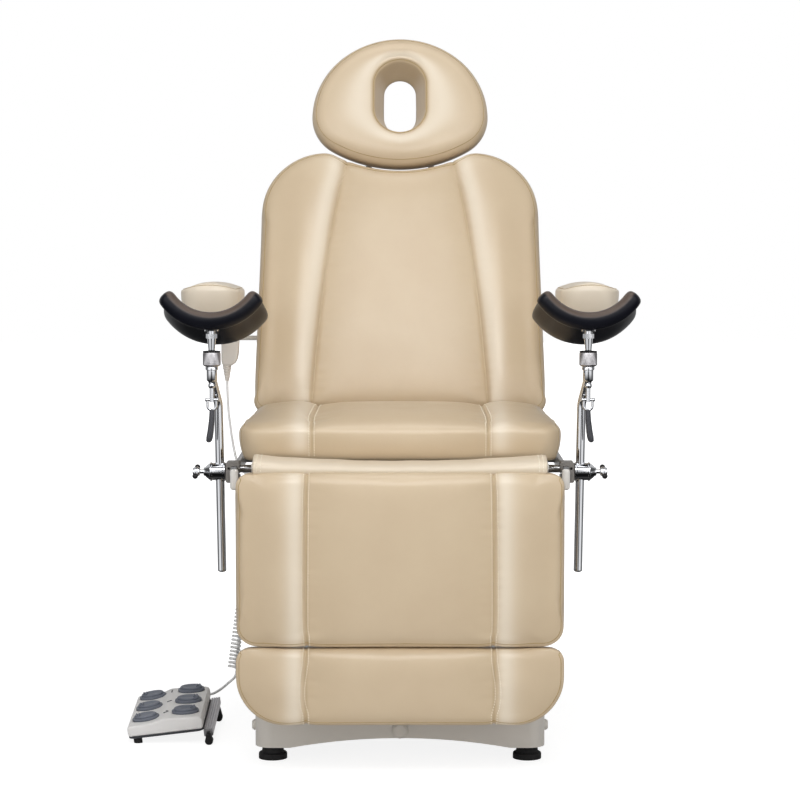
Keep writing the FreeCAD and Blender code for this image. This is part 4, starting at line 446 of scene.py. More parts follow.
def write_attribute(mesh, name, values):
    attribute = mesh.attributes.get(name) or mesh.attributes.new(name, "FLOAT", "POINT")
    attribute.data.foreach_set("value", np.asarray(values, dtype=np.float32))


def read_attribute(mesh, name):
    return numbers(mesh.attributes[name].data, "value")


def dress(obj, finish, body, *nodes, slot=None):
    """Gives a piece its finish, the body it rides on and the nodes it stands for; its slot argument is not
    used.
    """
    obj.data.materials.clear()
    obj.data.materials.append(FINISHES[finish])
    if nodes:
        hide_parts(*nodes)
    if body:
        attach(obj, body)
    return obj


# Node helpers

def add_node(tree, kind, settings=None, inputs=None):
    node = tree.nodes.new(kind)
    for name, value in (settings or {}).items():
        setattr(node, name, value)
    for name, value in (inputs or {}).items():
        node.inputs[name].default_value = value
    return node


def math_node(tree, operation, second=None):
    """Math node, its second value set where one is given."""
    return add_node(tree, "ShaderNodeMath", {"operation": operation}, None if second is None else {1: second})


def wire(tree, *links):
    """Makes links, each given as a node, its output, the next node and its input."""
    for source, out, target, into in links:
        tree.links.new(source.outputs[out], target.inputs[into])


def new_group(name, inputs):
    """Shader node group that puts out a height and a shade; returns it with its input and output nodes."""
    group = bpy.data.node_groups.new(name, "ShaderNodeTree")
    group.interface.new_socket("Vector", in_out="INPUT", socket_type="NodeSocketVector")
    for label, kind, value in inputs:
        socket = group.interface.new_socket(label, in_out="INPUT", socket_type=kind)
        socket.default_value = value
    for label in ("Height", "Shade"):
        group.interface.new_socket(label, in_out="OUTPUT", socket_type="NodeSocketFloat")
    return group, group.nodes.new("NodeGroupInput"), group.nodes.new("NodeGroupOutput")


def grain_group():
    """Pebbled grain of embossed leatherette with a slow change of shade."""
    group, start, end = new_group("leatherette_grain", [
        ("Cell Scale", "NodeSocketFloat", 620.0),
        ("Mottle Scale", "NodeSocketFloat", 9.0),
    ])
    cells = add_node(group, "ShaderNodeTexVoronoi", {"feature": "DISTANCE_TO_EDGE"})
    lumps = add_node(group, "ShaderNodeTexNoise", None, {"Detail": 2.0, "Roughness": 0.6})
    mottle = add_node(group, "ShaderNodeTexNoise", None, {"Detail": 4.0, "Roughness": 0.55})
    lump_scale = math_node(group, "MULTIPLY", 0.35)
    height = math_node(group, "ADD")
    spread = add_node(group, "ShaderNodeMapRange", None, {"From Min": 0.32, "From Max": 0.68})
    wire(group,
         (start, "Vector", cells, "Vector"), (start, "Cell Scale", cells, "Scale"),
         (start, "Vector", lumps, "Vector"), (start, "Cell Scale", lump_scale, 0),
         (lump_scale, 0, lumps, "Scale"), (start, "Vector", mottle, "Vector"),
         (start, "Mottle Scale", mottle, "Scale"), (cells, "Distance", height, 0),
         (lumps, "Fac", height, 1), (height, 0, end, "Height"), (mottle, "Fac", spread, "Value"),
         (spread, "Result", end, "Shade"))
    return group


def skin_group():
    """Fine spark texture of moulded and painted surfaces with a slow change of shade."""
    group, start, end = new_group("moulded_skin", [
        ("Fine Scale", "NodeSocketFloat", 900.0),
        ("Mottle Scale", "NodeSocketFloat", 6.0),
    ])
    fine = add_node(group, "ShaderNodeTexNoise", None, {"Detail": 2.0, "Roughness": 0.7})
    mottle = add_node(group, "ShaderNodeTexNoise", None, {"Detail": 3.0, "Roughness": 0.5})
    spread = add_node(group, "ShaderNodeMapRange", None, {"From Min": 0.3, "From Max": 0.7})
    wire(group,
         (start, "Vector", fine, "Vector"), (start, "Fine Scale", fine, "Scale"),
         (fine, "Fac", end, "Height"), (start, "Vector", mottle, "Vector"),
         (start, "Mottle Scale", mottle, "Scale"), (mottle, "Fac", spread, "Value"),
         (spread, "Result", end, "Shade"))
    return group


def drawn_group():
    """Streaks left on metal by drawing, turning or brushing along one direction."""
    group, start, end = new_group("drawn_streaks", [
        ("Stretch", "NodeSocketVector", (900.0, 900.0, 12.0)),
    ])
    scale = add_node(group, "ShaderNodeVectorMath", {"operation": "MULTIPLY"})
    streak = add_node(group, "ShaderNodeTexNoise", None, {"Scale": 1.0, "Detail": 3.0, "Roughness": 0.6})
    spread = add_node(group, "ShaderNodeMapRange", None, {"From Min": 0.3, "From Max": 0.7})
    wire(group,
         (start, "Vector", scale, 0), (start, "Stretch", scale, 1), (scale, "Vector", streak, "Vector"),
         (streak, "Fac", end, "Height"), (streak, "Fac", spread, "Value"), (spread, "Result", end, "Shade"))
    return group


GRAIN = grain_group()
SKIN = skin_group()
DRAWN = drawn_group()


def shown(red, green, blue):
    """Linear colour of a surface whose photographed value is given from 0 to 255."""
    values = []
    for value in (red, green, blue):
        share = value / 255
        values.append(share / 12.92 if share <= 0.04045 else ((share + 0.055) / 1.055) ** 2.4)
    return (*values, 1.0)


def finish_material(name, group, light, dark, rough, bump, shader_values, group_values=None):
    """Material whose colour, roughness and bump follow one of the surface groups."""
    material = bpy.data.materials.new(name)
    material.use_nodes = True
    tree = material.node_tree
    shader = tree.nodes["Principled BSDF"]
    for label, value in shader_values.items():
        shader.inputs[label].default_value = value
    place = add_node(tree, "ShaderNodeTexCoord")
    surface = add_node(tree, "ShaderNodeGroup", {"node_tree": group}, group_values)
    colour = add_node(tree, "ShaderNodeMix", {"data_type": "RGBA"}, {"A": shown(*light), "B": shown(*dark)})
    gloss = add_node(tree, "ShaderNodeMapRange", None, {"To Min": rough[0], "To Max": rough[1]})
    relief = add_node(tree, "ShaderNodeBump", None, {"Strength": bump[0], "Distance": bump[1]})
    wire(tree,
         (place, "Object", surface, "Vector"), (surface, "Shade", colour, "Factor"),
         (colour, "Result", shader, "Base Color"), (surface, "Shade", gloss, "Value"),
         (gloss, "Result", shader, "Roughness"), (surface, "Height", relief, "Height"),
         (relief, "Normal", shader, "Normal"))
    return material


def tint(material, attribute, colour):
    """Mixes a colour into a material's base colour where an attribute of the piece says."""
    tree = material.node_tree
    shader = tree.nodes["Principled BSDF"]
    base = shader.inputs["Base Color"].links[0].from_socket
    mask = add_node(tree, "ShaderNodeAttribute", {"attribute_name": attribute})
    mixed = add_node(tree, "ShaderNodeMix", {"data_type": "RGBA"}, {"B": shown(*colour)})
    tree.links.new(base, mixed.inputs["A"])
    wire(tree, (mask, "Fac", mixed, "Factor"), (mixed, "Result", shader, "Base Color"))


def leatherette():
    """Cream leatherette: deeper where painted shade is, at seams, edges and low on the sides, and paler where
    painted highlights are, as the piece's attributes say.
    """
    material = finish_material("leatherette", GRAIN, (212, 192, 162), (208, 187, 157),
                               (0.32, 0.38), (0.20, 0.0006),
                               {"Specular IOR Level": 0.6, "Sheen Weight": 0.06, "Sheen Roughness": 0.4})
    # Painted shade: a deeper brown mixed into the base colour
    tint(material, "painted_shade", (158, 132, 88))
    # Painted highlight: a paler cream mixed into the base colour
    tint(material, "painted_highlight", (246, 236, 219))
    return material


def trough_black():
    """Blue-black moulding with a grey-brown lining, where the piece's lining attribute says."""
    material = finish_material("trough_black", SKIN, (24, 25, 33), (18, 19, 26), (0.28, 0.36), (0.10, 0.0003),
                               {"Specular IOR Level": 0.20})
    tint(material, "lining", (92, 80, 73))
    return material


def plastic(name, light, dark, rough, specular=0.45, fine=900.0):
    return finish_material(name, SKIN, light, dark, rough, (0.12, 0.0003),
                           {"Specular IOR Level": specular}, {"Fine Scale": fine})


def metal(name, light, dark, rough, stretch, bump=0.04):
    return finish_material(name, DRAWN, light, dark, rough, (bump, 0.0002), {"Metallic": 1.0},
                           {"Stretch": stretch})


# Mouldings and paint: light and dark shade, range of roughness, then specular level and scale of the texture
PLASTICS = (
    ("black_moulding", (38, 38, 40), (30, 30, 32), (0.42, 0.55)),
    ("lever_grip", (74, 75, 80), (60, 61, 66), (0.38, 0.5)),
    ("white_paint", (228, 224, 217), (221, 216, 208), (0.30, 0.40), 0.5, 500.0),
    ("cover_white", (227, 222, 214), (221, 215, 207), (0.34, 0.44), 0.5, 700.0),
    ("lock_lever_white", (232, 229, 224), (224, 220, 214), (0.34, 0.42)),
    ("black_rubber", (40, 39, 40), (30, 29, 30), (0.55, 0.7), 0.3, 600.0),
    ("jaw_grey", (128, 124, 120), (116, 112, 108), (0.36, 0.46)),
    ("drive_grey", (92, 93, 96), (82, 83, 86), (0.4, 0.5)),
    ("foot_control_grey", (246, 244, 242), (241, 239, 237), (0.38, 0.48)),
    ("foot_plate_dark", (70, 71, 76), (60, 61, 66), (0.45, 0.55)),
    ("pedal_blue_grey", (124, 129, 140), (112, 117, 129), (0.36, 0.46)),
    ("handset_taupe", (238, 231, 222), (231, 224, 215), (0.38, 0.48)),
    ("cord_grey", (252, 252, 251), (249, 249, 248), (0.42, 0.55), 0.4),
    ("seam", (184, 159, 117), (174, 149, 107), (0.5, 0.6), 0.3),
    ("thread", (246, 238, 222), (238, 228, 208), (0.5, 0.6), 0.3),
)

# Metals: light and dark shade, range of roughness, scale of the streaks along each axis, their height
METALS = (
    ("chrome", (228, 229, 232), (214, 216, 220), (0.05, 0.10), (40.0, 40.0, 6.0), 0.01),
    ("satin_aluminium", (206, 204, 206), (194, 192, 194), (0.38, 0.48), (60.0, 60.0, 1400.0)),
    ("rail_steel", (196, 196, 197), (172, 172, 174), (0.24, 0.34), (900.0, 8.0, 900.0)),
)

FINISHES = {"leatherette": leatherette(), "trough_black": trough_black()}
for row in PLASTICS:
    FINISHES[row[0]] = plastic(*row)
for row in METALS:
    FINISHES[row[0]] = metal(*row)


# Camera, light and floor

def set_camera():
    camera = bpy.data.objects.new("camera", bpy.data.cameras.new("camera"))
    bpy.context.scene.collection.objects.link(camera)
    camera.location = CAMERA_PLACE
    camera.rotation_euler = (math.radians(90 - CAMERA_DIP), 0, 0)
    camera.data.lens = CAMERA_LENS
    camera.data.sensor_width = 36
    camera.data.clip_end = 60
    bpy.context.scene.camera = camera


def soft_box(name, place, aim, size, power):
    lamp = bpy.data.lights.new(name, "AREA")
    lamp.shape = "RECTANGLE"
    lamp.size, lamp.size_y = size
    lamp.energy = power
    obj = bpy.data.objects.new(name, lamp)
    bpy.context.scene.collection.objects.link(obj)
    obj.location = place
    obj.rotation_euler = (Vector(aim) - Vector(place)).to_track_quat("-Z", "Y").to_euler()


def set_world():
    """White to the camera, a soft light fuller from the front, and bands for the object's mirrors."""
    world = bpy.data.worlds.new("studio")
    bpy.context.scene.world = world
    world.use_nodes = True
    tree = world.node_tree
    back = tree.nodes["Background"]
    back.inputs["Color"].default_value = (1.0, 1.0, 1.0, 1.0)
    path = add_node(tree, "ShaderNodeLightPath")
    seen = math_node(tree, "MAXIMUM")
    way = add_node(tree, "ShaderNodeTexCoord")
    facing = add_node(tree, "ShaderNodeVectorMath", {"operation": "DOT_PRODUCT"}, {1: STUDIO_FRONT})
    glow = add_node(tree, "ShaderNodeMapRange", {"interpolation_type": "SMOOTHSTEP"},
                    {"From Min": -0.5, "From Max": 0.95, "To Min": STUDIO_DIM, "To Max": STUDIO_FULL})
    parts = add_node(tree, "ShaderNodeSeparateXYZ")
    front = math_node(tree, "MULTIPLY", -1.0)
    turn = math_node(tree, "ARCTAN2")
    both = math_node(tree, "ABSOLUTE")
    mirror_scale = math_node(tree, "DIVIDE", math.pi)
    bands = add_node(tree, "ShaderNodeFloatCurve")
    curve = bands.mapping.curves[0]
    for end in (0, -1):
        curve.points[end].location = STUDIO_BANDS[end]
    for turn_share, glow_level in STUDIO_BANDS[1:-1]:
        curve.points.new(turn_share, glow_level)
    bands.mapping.update()
    above = add_node(tree, "ShaderNodeMapRange", None, {"From Min": -0.40, "From Max": -0.18, "To Min": 0.06})
    banded_light = math_node(tree, "MULTIPLY")
    gloss = add_node(tree, "ShaderNodeMix", {"data_type": "FLOAT"})
    level = add_node(tree, "ShaderNodeMix", {"data_type": "FLOAT"}, {"B": 1.0})
    wire(tree,
         (way, "Generated", parts, 0), (parts, "Y", front, 0), (parts, "X", turn, 0), (front, 0, turn, 1),
         (turn, 0, both, 0), (both, 0, mirror_scale, 0), (mirror_scale, 0, bands, "Value"),
         (path, "Is Glossy Ray", gloss, "Factor"), (parts, "Z", above, "Value"),
         (bands, "Value", banded_light, 0), (above, "Result", banded_light, 1),
         (banded_light, 0, gloss, "B"), (path, "Is Camera Ray", seen, 0),
         (path, "Is Transmission Ray", seen, 1), (way, "Generated", facing, 0),
         (facing, "Value", glow, "Value"), (seen, 0, level, "Factor"), (glow, "Result", gloss, "A"),
         (gloss, "Result", level, "A"), (level, "Result", back, "Strength"))


def set_floor():
    """Pale floor that reads white to the camera and keeps the object's shadow."""
    clear_selection()
    bpy.ops.mesh.primitive_plane_add(size=30)
    floor = bpy.context.object
    floor.name = "floor"
    material = bpy.data.materials.new("floor_white")
    material.use_nodes = True
    tree = material.node_tree
    shader = tree.nodes["Principled BSDF"]
    shader.inputs["Base Color"].default_value = (0.92, 0.92, 0.92, 1.0)
    shader.inputs["Roughness"].default_value = 0.9
    glow = add_node(tree, "ShaderNodeEmission", None, {"Strength": 1.40})
    path = add_node(tree, "ShaderNodeLightPath")
    place = add_node(tree, "ShaderNodeTexCoord")
    away = add_node(tree, "ShaderNodeVectorMath", {"operation": "LENGTH"})
    clear = add_node(tree, "ShaderNodeMapRange", {"interpolation_type": "SMOOTHSTEP"},
                     {"From Min": 0.5, "From Max": 1.5, "To Min": 0.62, "To Max": 1.0})
    share = math_node(tree, "MULTIPLY")
    mix = add_node(tree, "ShaderNodeMixShader")
    clear_glass = add_node(tree, "ShaderNodeBsdfTransparent")
    last = add_node(tree, "ShaderNodeMixShader")
    wire(tree,
         (place, "Object", away, 0), (away, "Value", clear, "Value"), (clear, "Result", share, 1),
         (path, "Is Camera Ray", share, 0), (share, 0, mix, "Fac"), (shader, "BSDF", mix, 1),
         (glow, "Emission", mix, 2), (path, "Is Glossy Ray", last, "Fac"), (mix, 0, last, 1),
         (clear_glass, "BSDF", last, 2), (last, 0, tree.nodes["Material Output"], "Surface"))
    floor.data.materials.append(material)


# Cords

def spline_object(name, points, resolution, closed=False):
    """Smooth line: a spline with the given points as its control points."""
    curve = bpy.data.curves.new(name, "CURVE")
    curve.dimensions = "3D"
    spline = curve.splines.new("NURBS")
    spline.points.add(len(points) - 1)
    for control, point in zip(spline.points, points):
        control.co = (*point, 1.0)
    spline.use_cyclic_u = closed
    spline.use_endpoint_u = not closed
    spline.order_u = 3
    spline.resolution_u = resolution
    obj = bpy.data.objects.new(name, curve)
    bpy.context.scene.collection.objects.link(obj)
    return obj


def thicken(obj, radius, rounding, caps):
    """Turns a smooth line into a round mesh tube."""
    obj.data.bevel_depth = radius
    obj.data.bevel_resolution = rounding
    obj.data.use_fill_caps = caps
    take(obj)
    bpy.ops.object.convert(target="MESH")
    smooth(obj)


def cord_tube(name, points):
    """Mesh tube along a cord's route, and the points that it follows."""
    obj = spline_object(name, points, 5)
    line = bpy.data.meshes.new_from_object(obj)
    path = [vertex.co.copy() for vertex in line.vertices]
    bpy.data.meshes.remove(line)
    thicken(obj, CORD_R, 3, True)
    return obj, path


def coil_points():
    """Control points of the curly stretch: short leads and a helix on a leaning axis."""
    near, far = COIL_LEAD
    points = [Vector((COIL_R, -far, -COIL_LEAD_RUN)), Vector((COIL_R, -near, -COIL_LEAD_RUN))]
    reach = COIL_R / math.cos(math.pi / COIL_STEPS)
    for step in range(COIL_TURNS * COIL_STEPS + 1):
        turn = 2 * math.pi * step / COIL_STEPS
        rise = COIL_PITCH * step / COIL_STEPS
        points.append(Vector((reach * math.cos(turn), reach * math.sin(turn), rise)))
    top = COIL_PITCH * COIL_TURNS + COIL_LEAD_RUN
    points += [Vector((COIL_R, near, top)), Vector((COIL_R, far, top))]
    lean = Matrix.Rotation(COIL_LEAN, 4, "Y")
    return [lean @ point + COIL_FOOT for point in points]


def pedal_cord():
    """Lead of the foot control: a loose run, the curly stretch, and a run into the control box."""
    axis = Matrix.Rotation(COIL_LEAN, 3, "Y") @ Vector((0, 0, 1))
    coil = coil_points()
    low = [BOX_CORD_EXIT, BOX_CORD_BEND, *PEDAL_ROUTE_LOW, coil[0] - Vector((0.0, 0.010, 0.001))]
    high = [coil[-1] + axis * 0.025, *PEDAL_ROUTE_HIGH, BOX_SOCKET + Vector((0, PLUG_RUN, 0)), BOX_SOCKET]
    cord, path = cord_tube("pedal_lead", low + coil + high)
    dress(cord, "cord_grey", None, "pedal_cord")
    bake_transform(cord)


def handset_cord():
    """Lead of the hand control, hanging from its ribbed relief into the control box."""
    route = [HAND_CORD_EXIT, *HAND_ROUTE, HAND_SOCKET + Vector((-PLUG_RUN, 0, 0)), HAND_SOCKET]
    cord, path = cord_tube("handset_lead", route)
    dress(cord, "cord_grey", None, "handset_cord")
    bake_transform(cord)


# Pad outlines: each gives the foot, right, head and left side of the outline, drawn in by an inset

def arc_points(centre_x, centre_y, radius, start, end, count=9):
    turn = np.radians(np.linspace(start, end, count))
    return np.column_stack([centre_x + radius * np.cos(turn), centre_y + radius * np.sin(turn)])


def mirrored(side):
    return side * np.array([-1.0, 1.0])


def whole_side(right_half):
    return np.vstack([mirrored(right_half)[::-1], right_half])


def rounded_sides(half_low, half_high, length, r_low, r_high, bulge=0.0):
    def sides(inset):
        low_r = max(r_low - inset, LEAST_CORNER_R)
        high_r = max(r_high - inset, LEAST_CORNER_R)
        low_x, low_y = half_low - inset - low_r, inset + low_r
        high_x, high_y = half_high - inset - high_r, length - inset - high_r
        t = np.linspace(0, 1, 40)[1:-1]
        flank_x = (low_x + low_r) * (1 - t) + (high_x + high_r) * t + bulge * 4 * t * (1 - t)
        flank = np.column_stack([flank_x, low_y + (high_y - low_y) * t])
        right = np.vstack([arc_points(low_x, low_y, low_r, -45, 0), flank,
                           arc_points(high_x, high_y, high_r, 0, 45)])
        foot = whole_side(arc_points(low_x, low_y, low_r, -90, -45))
        head = whole_side(arc_points(high_x, high_y, high_r, 90, 45))
        return foot, right, head, mirrored(right)

    return sides


def back_sides(inset):
    """Square foot, round shoulders and a hollow head end that takes the head pad."""
    half_low, half_high = PAD_HALF + BACK_SWELL, PAD_HALF - PAD_TAPER
    peak_x = half_high - SHOULDER_R
    reach = HOLLOW_R + PEAK_R
    peak_y = BACK_LEN - PEAK_R
    hollow_y = peak_y + math.sqrt(reach ** 2 - peak_x ** 2)
    low_r = max(BACK_CORNER_R - inset, LEAST_CORNER_R)
    low_x, low_y = half_low - inset - low_r, inset + low_r
    round_r = SHOULDER_R - inset
    round_y = BACK_LEN - inset - round_r
    t = np.linspace(0, 1, 40)[1:-1]
    flank_x = (low_x + low_r) * (1 - t) + (peak_x + round_r) * t
    flank = np.column_stack([flank_x, low_y + (round_y - low_y) * t])
    right = np.vstack([arc_points(low_x, low_y, low_r, -45, 0), flank,
                       arc_points(peak_x, round_y, round_r, 0, 45, 24)])
    foot = whole_side(arc_points(low_x, low_y, low_r, -90, -45))
    swing = math.degrees(math.atan2(peak_y - hollow_y, peak_x))
    head_half = np.vstack([
        arc_points(0, hollow_y, HOLLOW_R + inset, -90, swing, 24),
        arc_points(peak_x, peak_y, PEAK_R - inset, swing + 180, 90, 9),
        arc_points(peak_x, round_y, round_r, 90, 45, 24)[1:],
    ])
    return foot, right, whole_side(head_half[1:]), mirrored(right)


# Pad meshes

def seam_columns(seam, end, inner, outer):
    """Places across a pad from edge to edge, with close columns along each of its two seams."""
    middle = np.linspace(0, seam + SEAM_BAND[0], inner)[:-1]
    band = seam + np.array(SEAM_BAND)
    side = np.linspace(seam + SEAM_BAND[-1], end, outer)[1:]
    half = np.concatenate([middle, band, side])
    return np.concatenate([-half[:0:-1], half])


def follow(side, axis, values):
    """Points of a side at the given coordinates along one axis."""
    other = np.interp(values, side[:, axis], side[:, 1 - axis])
    return np.column_stack([values, other] if axis == 0 else [other, values])


def outline_edges(sides, columns, rows):
    foot, right, head, left = sides
    low = follow(foot, 0, columns(0, foot[-1, 0]))
    high = follow(head, 0, columns(1, head[-1, 0]))
    climb = np.linspace(right[0, 1], right[-1, 1], rows + 1)
    return low, follow(right, 1, climb), high, follow(left, 1, climb)


def patch(edges):
    """Grid that fills four edges, each point blended from the edges around it."""
    low, right, high, left = edges
    rows, count = len(right), len(low)
    grid = np.empty((rows, count, 2))
    share_low = (low[:, 0] - low[0, 0]) / (low[-1, 0] - low[0, 0])
    share_high = (high[:, 0] - high[0, 0]) / (high[-1, 0] - high[0, 0])
    for j in range(rows):
        t = j / (rows - 1)
        s = ((1 - t) * share_low + t * share_high)[:, None]
        ends = (1 - s) * ((1 - t) * low[0] + t * high[0]) + s * ((1 - t) * low[-1] + t * high[-1])
        grid[j] = (1 - t) * low + t * high + (1 - s) * left[j] + s * right[j] - ends
    return grid


def loop(grid):
    """Border of a grid, once round from its first corner."""
    return np.concatenate([grid[0], grid[1:, -1], grid[-1, -2::-1], grid[-2:0:-1, 0]])


def edge_loop(edges):
    low, right, high, left = edges
    return np.concatenate([low, right[1:], high[-2::-1], left[-2:0:-1]])


class Pad:
    """Upholstered pad on a local frame: across, along, and out from its base."""

    def __init__(self, name, place, along, out, thick, edge_r):
        self.name = name
        self.place = Vector(place)
        self.along = Vector(along)
        self.out = Vector(out)
        self.thick = thick
        self.edge_r = edge_r

    def world(self, local):
        local = np.asarray(local)
        across = np.outer(local[:, 0], (1, 0, 0))
        level = np.outer(local[:, 2], self.out)
        return across + np.outer(local[:, 1], self.along) + level + np.array(self.place)


WELT_TURN = 45
EDGE_TURNS = (15, 30, WELT_TURN, 60, 75, 90)
BASE_ROUND = 0.010
SIDE_PULL = 0.007


def side_rings(edge_r, depth):
    """Inset and drop of the rings from a pad's face over its rounded edge and down its drawn-in side."""
    rings = []
    for turn in EDGE_TURNS:
        a = math.radians(turn)
        rings.append((edge_r * (1 - math.sin(a)), edge_r * (1 - math.cos(a))))
    wall = depth - edge_r - BASE_ROUND
    for share in (0.33, 0.67, 1.0):
        rings.append((SIDE_PULL * share ** 2, edge_r + wall * share))
    rings.append((SIDE_PULL + BASE_ROUND * 0.3, depth - BASE_ROUND * 0.3))
    return rings


def build_pad(pad, sides, columns, rows, face, seam):
    """Closed pad mesh: face, rounded edge, drawn-in sides and base, with its seam distances stored."""
    top = patch(outline_edges(sides(pad.edge_r), columns, rows))
    shape = top.shape[:2]
    flat = top.reshape(-1, 2)
    height = face(flat[:, 0], flat[:, 1])
    local = [np.column_stack([flat, height])]
    rim_height = loop(height.reshape(shape))
    index = np.arange(flat.shape[0]).reshape(shape)
    faces = quads(index)
    previous = loop(index)
    count = flat.shape[0]
    welt = None
    ring_total = len(previous)
    for order, (inset, drop) in enumerate(side_rings(pad.edge_r, pad.thick)):
        ring = edge_loop(outline_edges(sides(inset), columns, rows))
        share = min(1.0, drop / pad.edge_r)
        level = rim_height * (1 - share) + pad.thick * share - drop
        local.append(np.column_stack([ring, level]))
        current = np.arange(count, count + ring_total)
        faces += ring_quads(previous, current)
        if order < len(EDGE_TURNS) and EDGE_TURNS[order] == WELT_TURN:
            welt = current
        previous = current
        count += ring_total
    base = patch(outline_edges(sides(SIDE_PULL + BASE_ROUND), columns, rows)).reshape(-1, 2)
    local.append(np.column_stack([base, np.zeros(len(base))]))
    base_index = (np.arange(len(base)) + count).reshape(shape)
    faces += ring_quads(previous, loop(base_index))
    faces += [quad[::-1] for quad in quads(base_index)]
    local = np.concatenate(local)
    obj = mesh_object(pad.name, pad.world(local), faces)
    gap = np.full(len(local), 1.0) if seam is None else np.abs(local[:, 0]) - seam(local[:, 1])
    write_attribute(obj.data, "gap", gap)
    write_attribute(obj.data, "along", local[:, 1])
    write_attribute(obj.data, "rise", local[:, 2] / pad.thick)
    return obj, index, welt, count


def quads(index):
    a, b = index[:-1, :-1].ravel(), index[:-1, 1:].ravel()
    c, d = index[1:, 1:].ravel(), index[1:, :-1].ravel()
    return [list(q) for q in zip(a.tolist(), b.tolist(), c.tolist(), d.tolist())]


def ring_quads(upper, lower):
    faces = []
    total = len(upper)
    for i in range(total):
        j = (i + 1) % total
        faces.append([int(upper[i]), int(lower[i]), int(lower[j]), int(upper[j])])
    return faces


def puffed(obj, held, pressure, cap):
    """Swells a pad's cover by a cloth run with the seams and base held, no point further than cap."""
    scene = bpy.context.scene
    group = obj.vertex_groups.new(name="held")
    group.add([int(i) for i in held], 1.0, "REPLACE")
    before = coordinates(obj.data)
    cloth = obj.modifiers.new("cover", "CLOTH")
    for name, value in COVER_CLOTH.items():
        setattr(cloth.settings, name, value)
    cloth.settings.uniform_pressure_force = pressure
    cloth.settings.effector_weights.gravity = 0
    cloth.point_cache.frame_start = 1
    cloth.point_cache.frame_end = COVER_FRAMES
    for step in range(1, COVER_FRAMES + 1):
        scene.frame_set(step)
    solved = obj.evaluated_get(bpy.context.evaluated_depsgraph_get())
    after = coordinates(solved.data)
    obj.modifiers.remove(cloth)
    obj.vertex_groups.clear()
    scene.frame_set(1)
    move = after - before
    size = np.linalg.norm(move, axis=1)
    limit = cap * np.tanh(size / cap) / np.maximum(size, 1e-9)
    set_coordinates(obj.data, before + move * limit[:, None])


def sink_seams(obj):
    """Draws the cover in along its seams: a narrow channel in a broad dip."""
    mesh = obj.data
    gap = read_attribute(mesh, "gap")
    rise = read_attribute(mesh, "rise")
    fade = np.clip((rise - 0.62) / 0.24, 0, 1)
    channel = SEAM_SINK * np.exp(-(gap / SEAM_HALF) ** 2) + DIP * np.exp(-(gap / DIP_HALF) ** 2)
    set_coordinates(mesh, coordinates(mesh) - normals(mesh) * (channel * fade)[:, None])


def pucker(obj, seed, highlight_share):
    """Fine gathers along the seams and a crease in their middle, on the smoothed cover."""
    mesh = obj.data
    gap = read_attribute(mesh, "gap")
    along = read_attribute(mesh, "along")
    rise = read_attribute(mesh, "rise")
    fade = np.clip((rise - 0.12) / 0.2, 0, 1)
    reach = np.exp(-np.abs(np.abs(gap) - GATHER_AT) / GATHER_REACH)
    wave = np.sin(along * 290 + seed + 2.1 * np.sin(along * 41 + seed))
    wave += 0.6 * np.sin(along * 173 + 2 * seed + 1.7 * np.sin(along * 23))
    lift = GATHER * wave * reach
    crease = -CREASE * np.exp(-(gap / CREASE_HALF) ** 2)
    set_coordinates(mesh, coordinates(mesh) + normals(mesh) * ((lift + crease) * fade)[:, None])
    # Painted shade: an attribute that darkens the base colour in the seams, low on the sides, towards the
    # outer edges and beside the seams
    low = np.clip(1 - rise / 0.25, 0, 1)
    outer = PAINTED_OUTER_SHADE * soft_step(gap, 0.030, 0.105) * (gap < 0.5)
    inner = PAINTED_INNER_SHADE * soft_step(gap, -0.110, -0.008) * (gap < 0)
    painted_shade = PAINTED_SEAM_SHADE * np.exp(-(gap / 0.0024) ** 2) * fade + PAINTED_LOW_SHADE * low + (outer + inner) * fade
    write_attribute(mesh, "painted_shade", np.clip(painted_shade, 0, 1))
    # Painted highlight: an attribute that lightens the base colour in a band on the bolster crowns beside the
    # seams, plus an even share given for the whole piece
    crown = np.exp(-((gap - 0.022) / 0.020) ** 2) * soft_step(gap, 0.002, 0.012) * fade
    write_attribute(mesh, "painted_highlight", np.clip(PAINTED_CROWN_HIGHLIGHT * crown + highlight_share, 0, 1))


def surface_tree(obj):
    mesh = obj.data
    mesh.calc_loop_triangles()
    points = [vertex.co for vertex in mesh.vertices]
    faces = [tuple(triangle.vertices) for triangle in mesh.loop_triangles]
    return BVHTree.FromPolygons(points, faces)


def even_points(points, pitch):
    """Points and directions at even steps along a line of points."""
    points = np.asarray(points)
    runs = np.linalg.norm(np.diff(points, axis=0), axis=1)
    far = np.concatenate([[0], np.cumsum(runs)])
    stops = np.arange(pitch / 2, far[-1], pitch)
    later = np.minimum(stops + pitch / 2, far[-1])
    spots = np.column_stack([np.interp(stops, far, points[:, k]) for k in range(3)])
    ahead = np.column_stack([np.interp(later, far, points[:, k]) for k in range(3)])
    return spots, ahead - spots


def stitch_shape():
    """One stitch: a short thread, thin at its ends, from a small sphere."""
    clear_selection()
    bpy.ops.mesh.primitive_uv_sphere_add(segments=6, ring_count=5, radius=1)
    obj = bpy.context.object
    obj.scale = (STITCH_R, STITCH_LEN / 2, STITCH_R)
    bpy.ops.object.transform_apply(scale=True)
    points = coordinates(obj.data)
    faces = [list(polygon.vertices) for polygon in obj.data.polygons]
    bpy.data.objects.remove(obj)
    return points, faces


STITCH_POINTS, STITCH_FACES = stitch_shape()


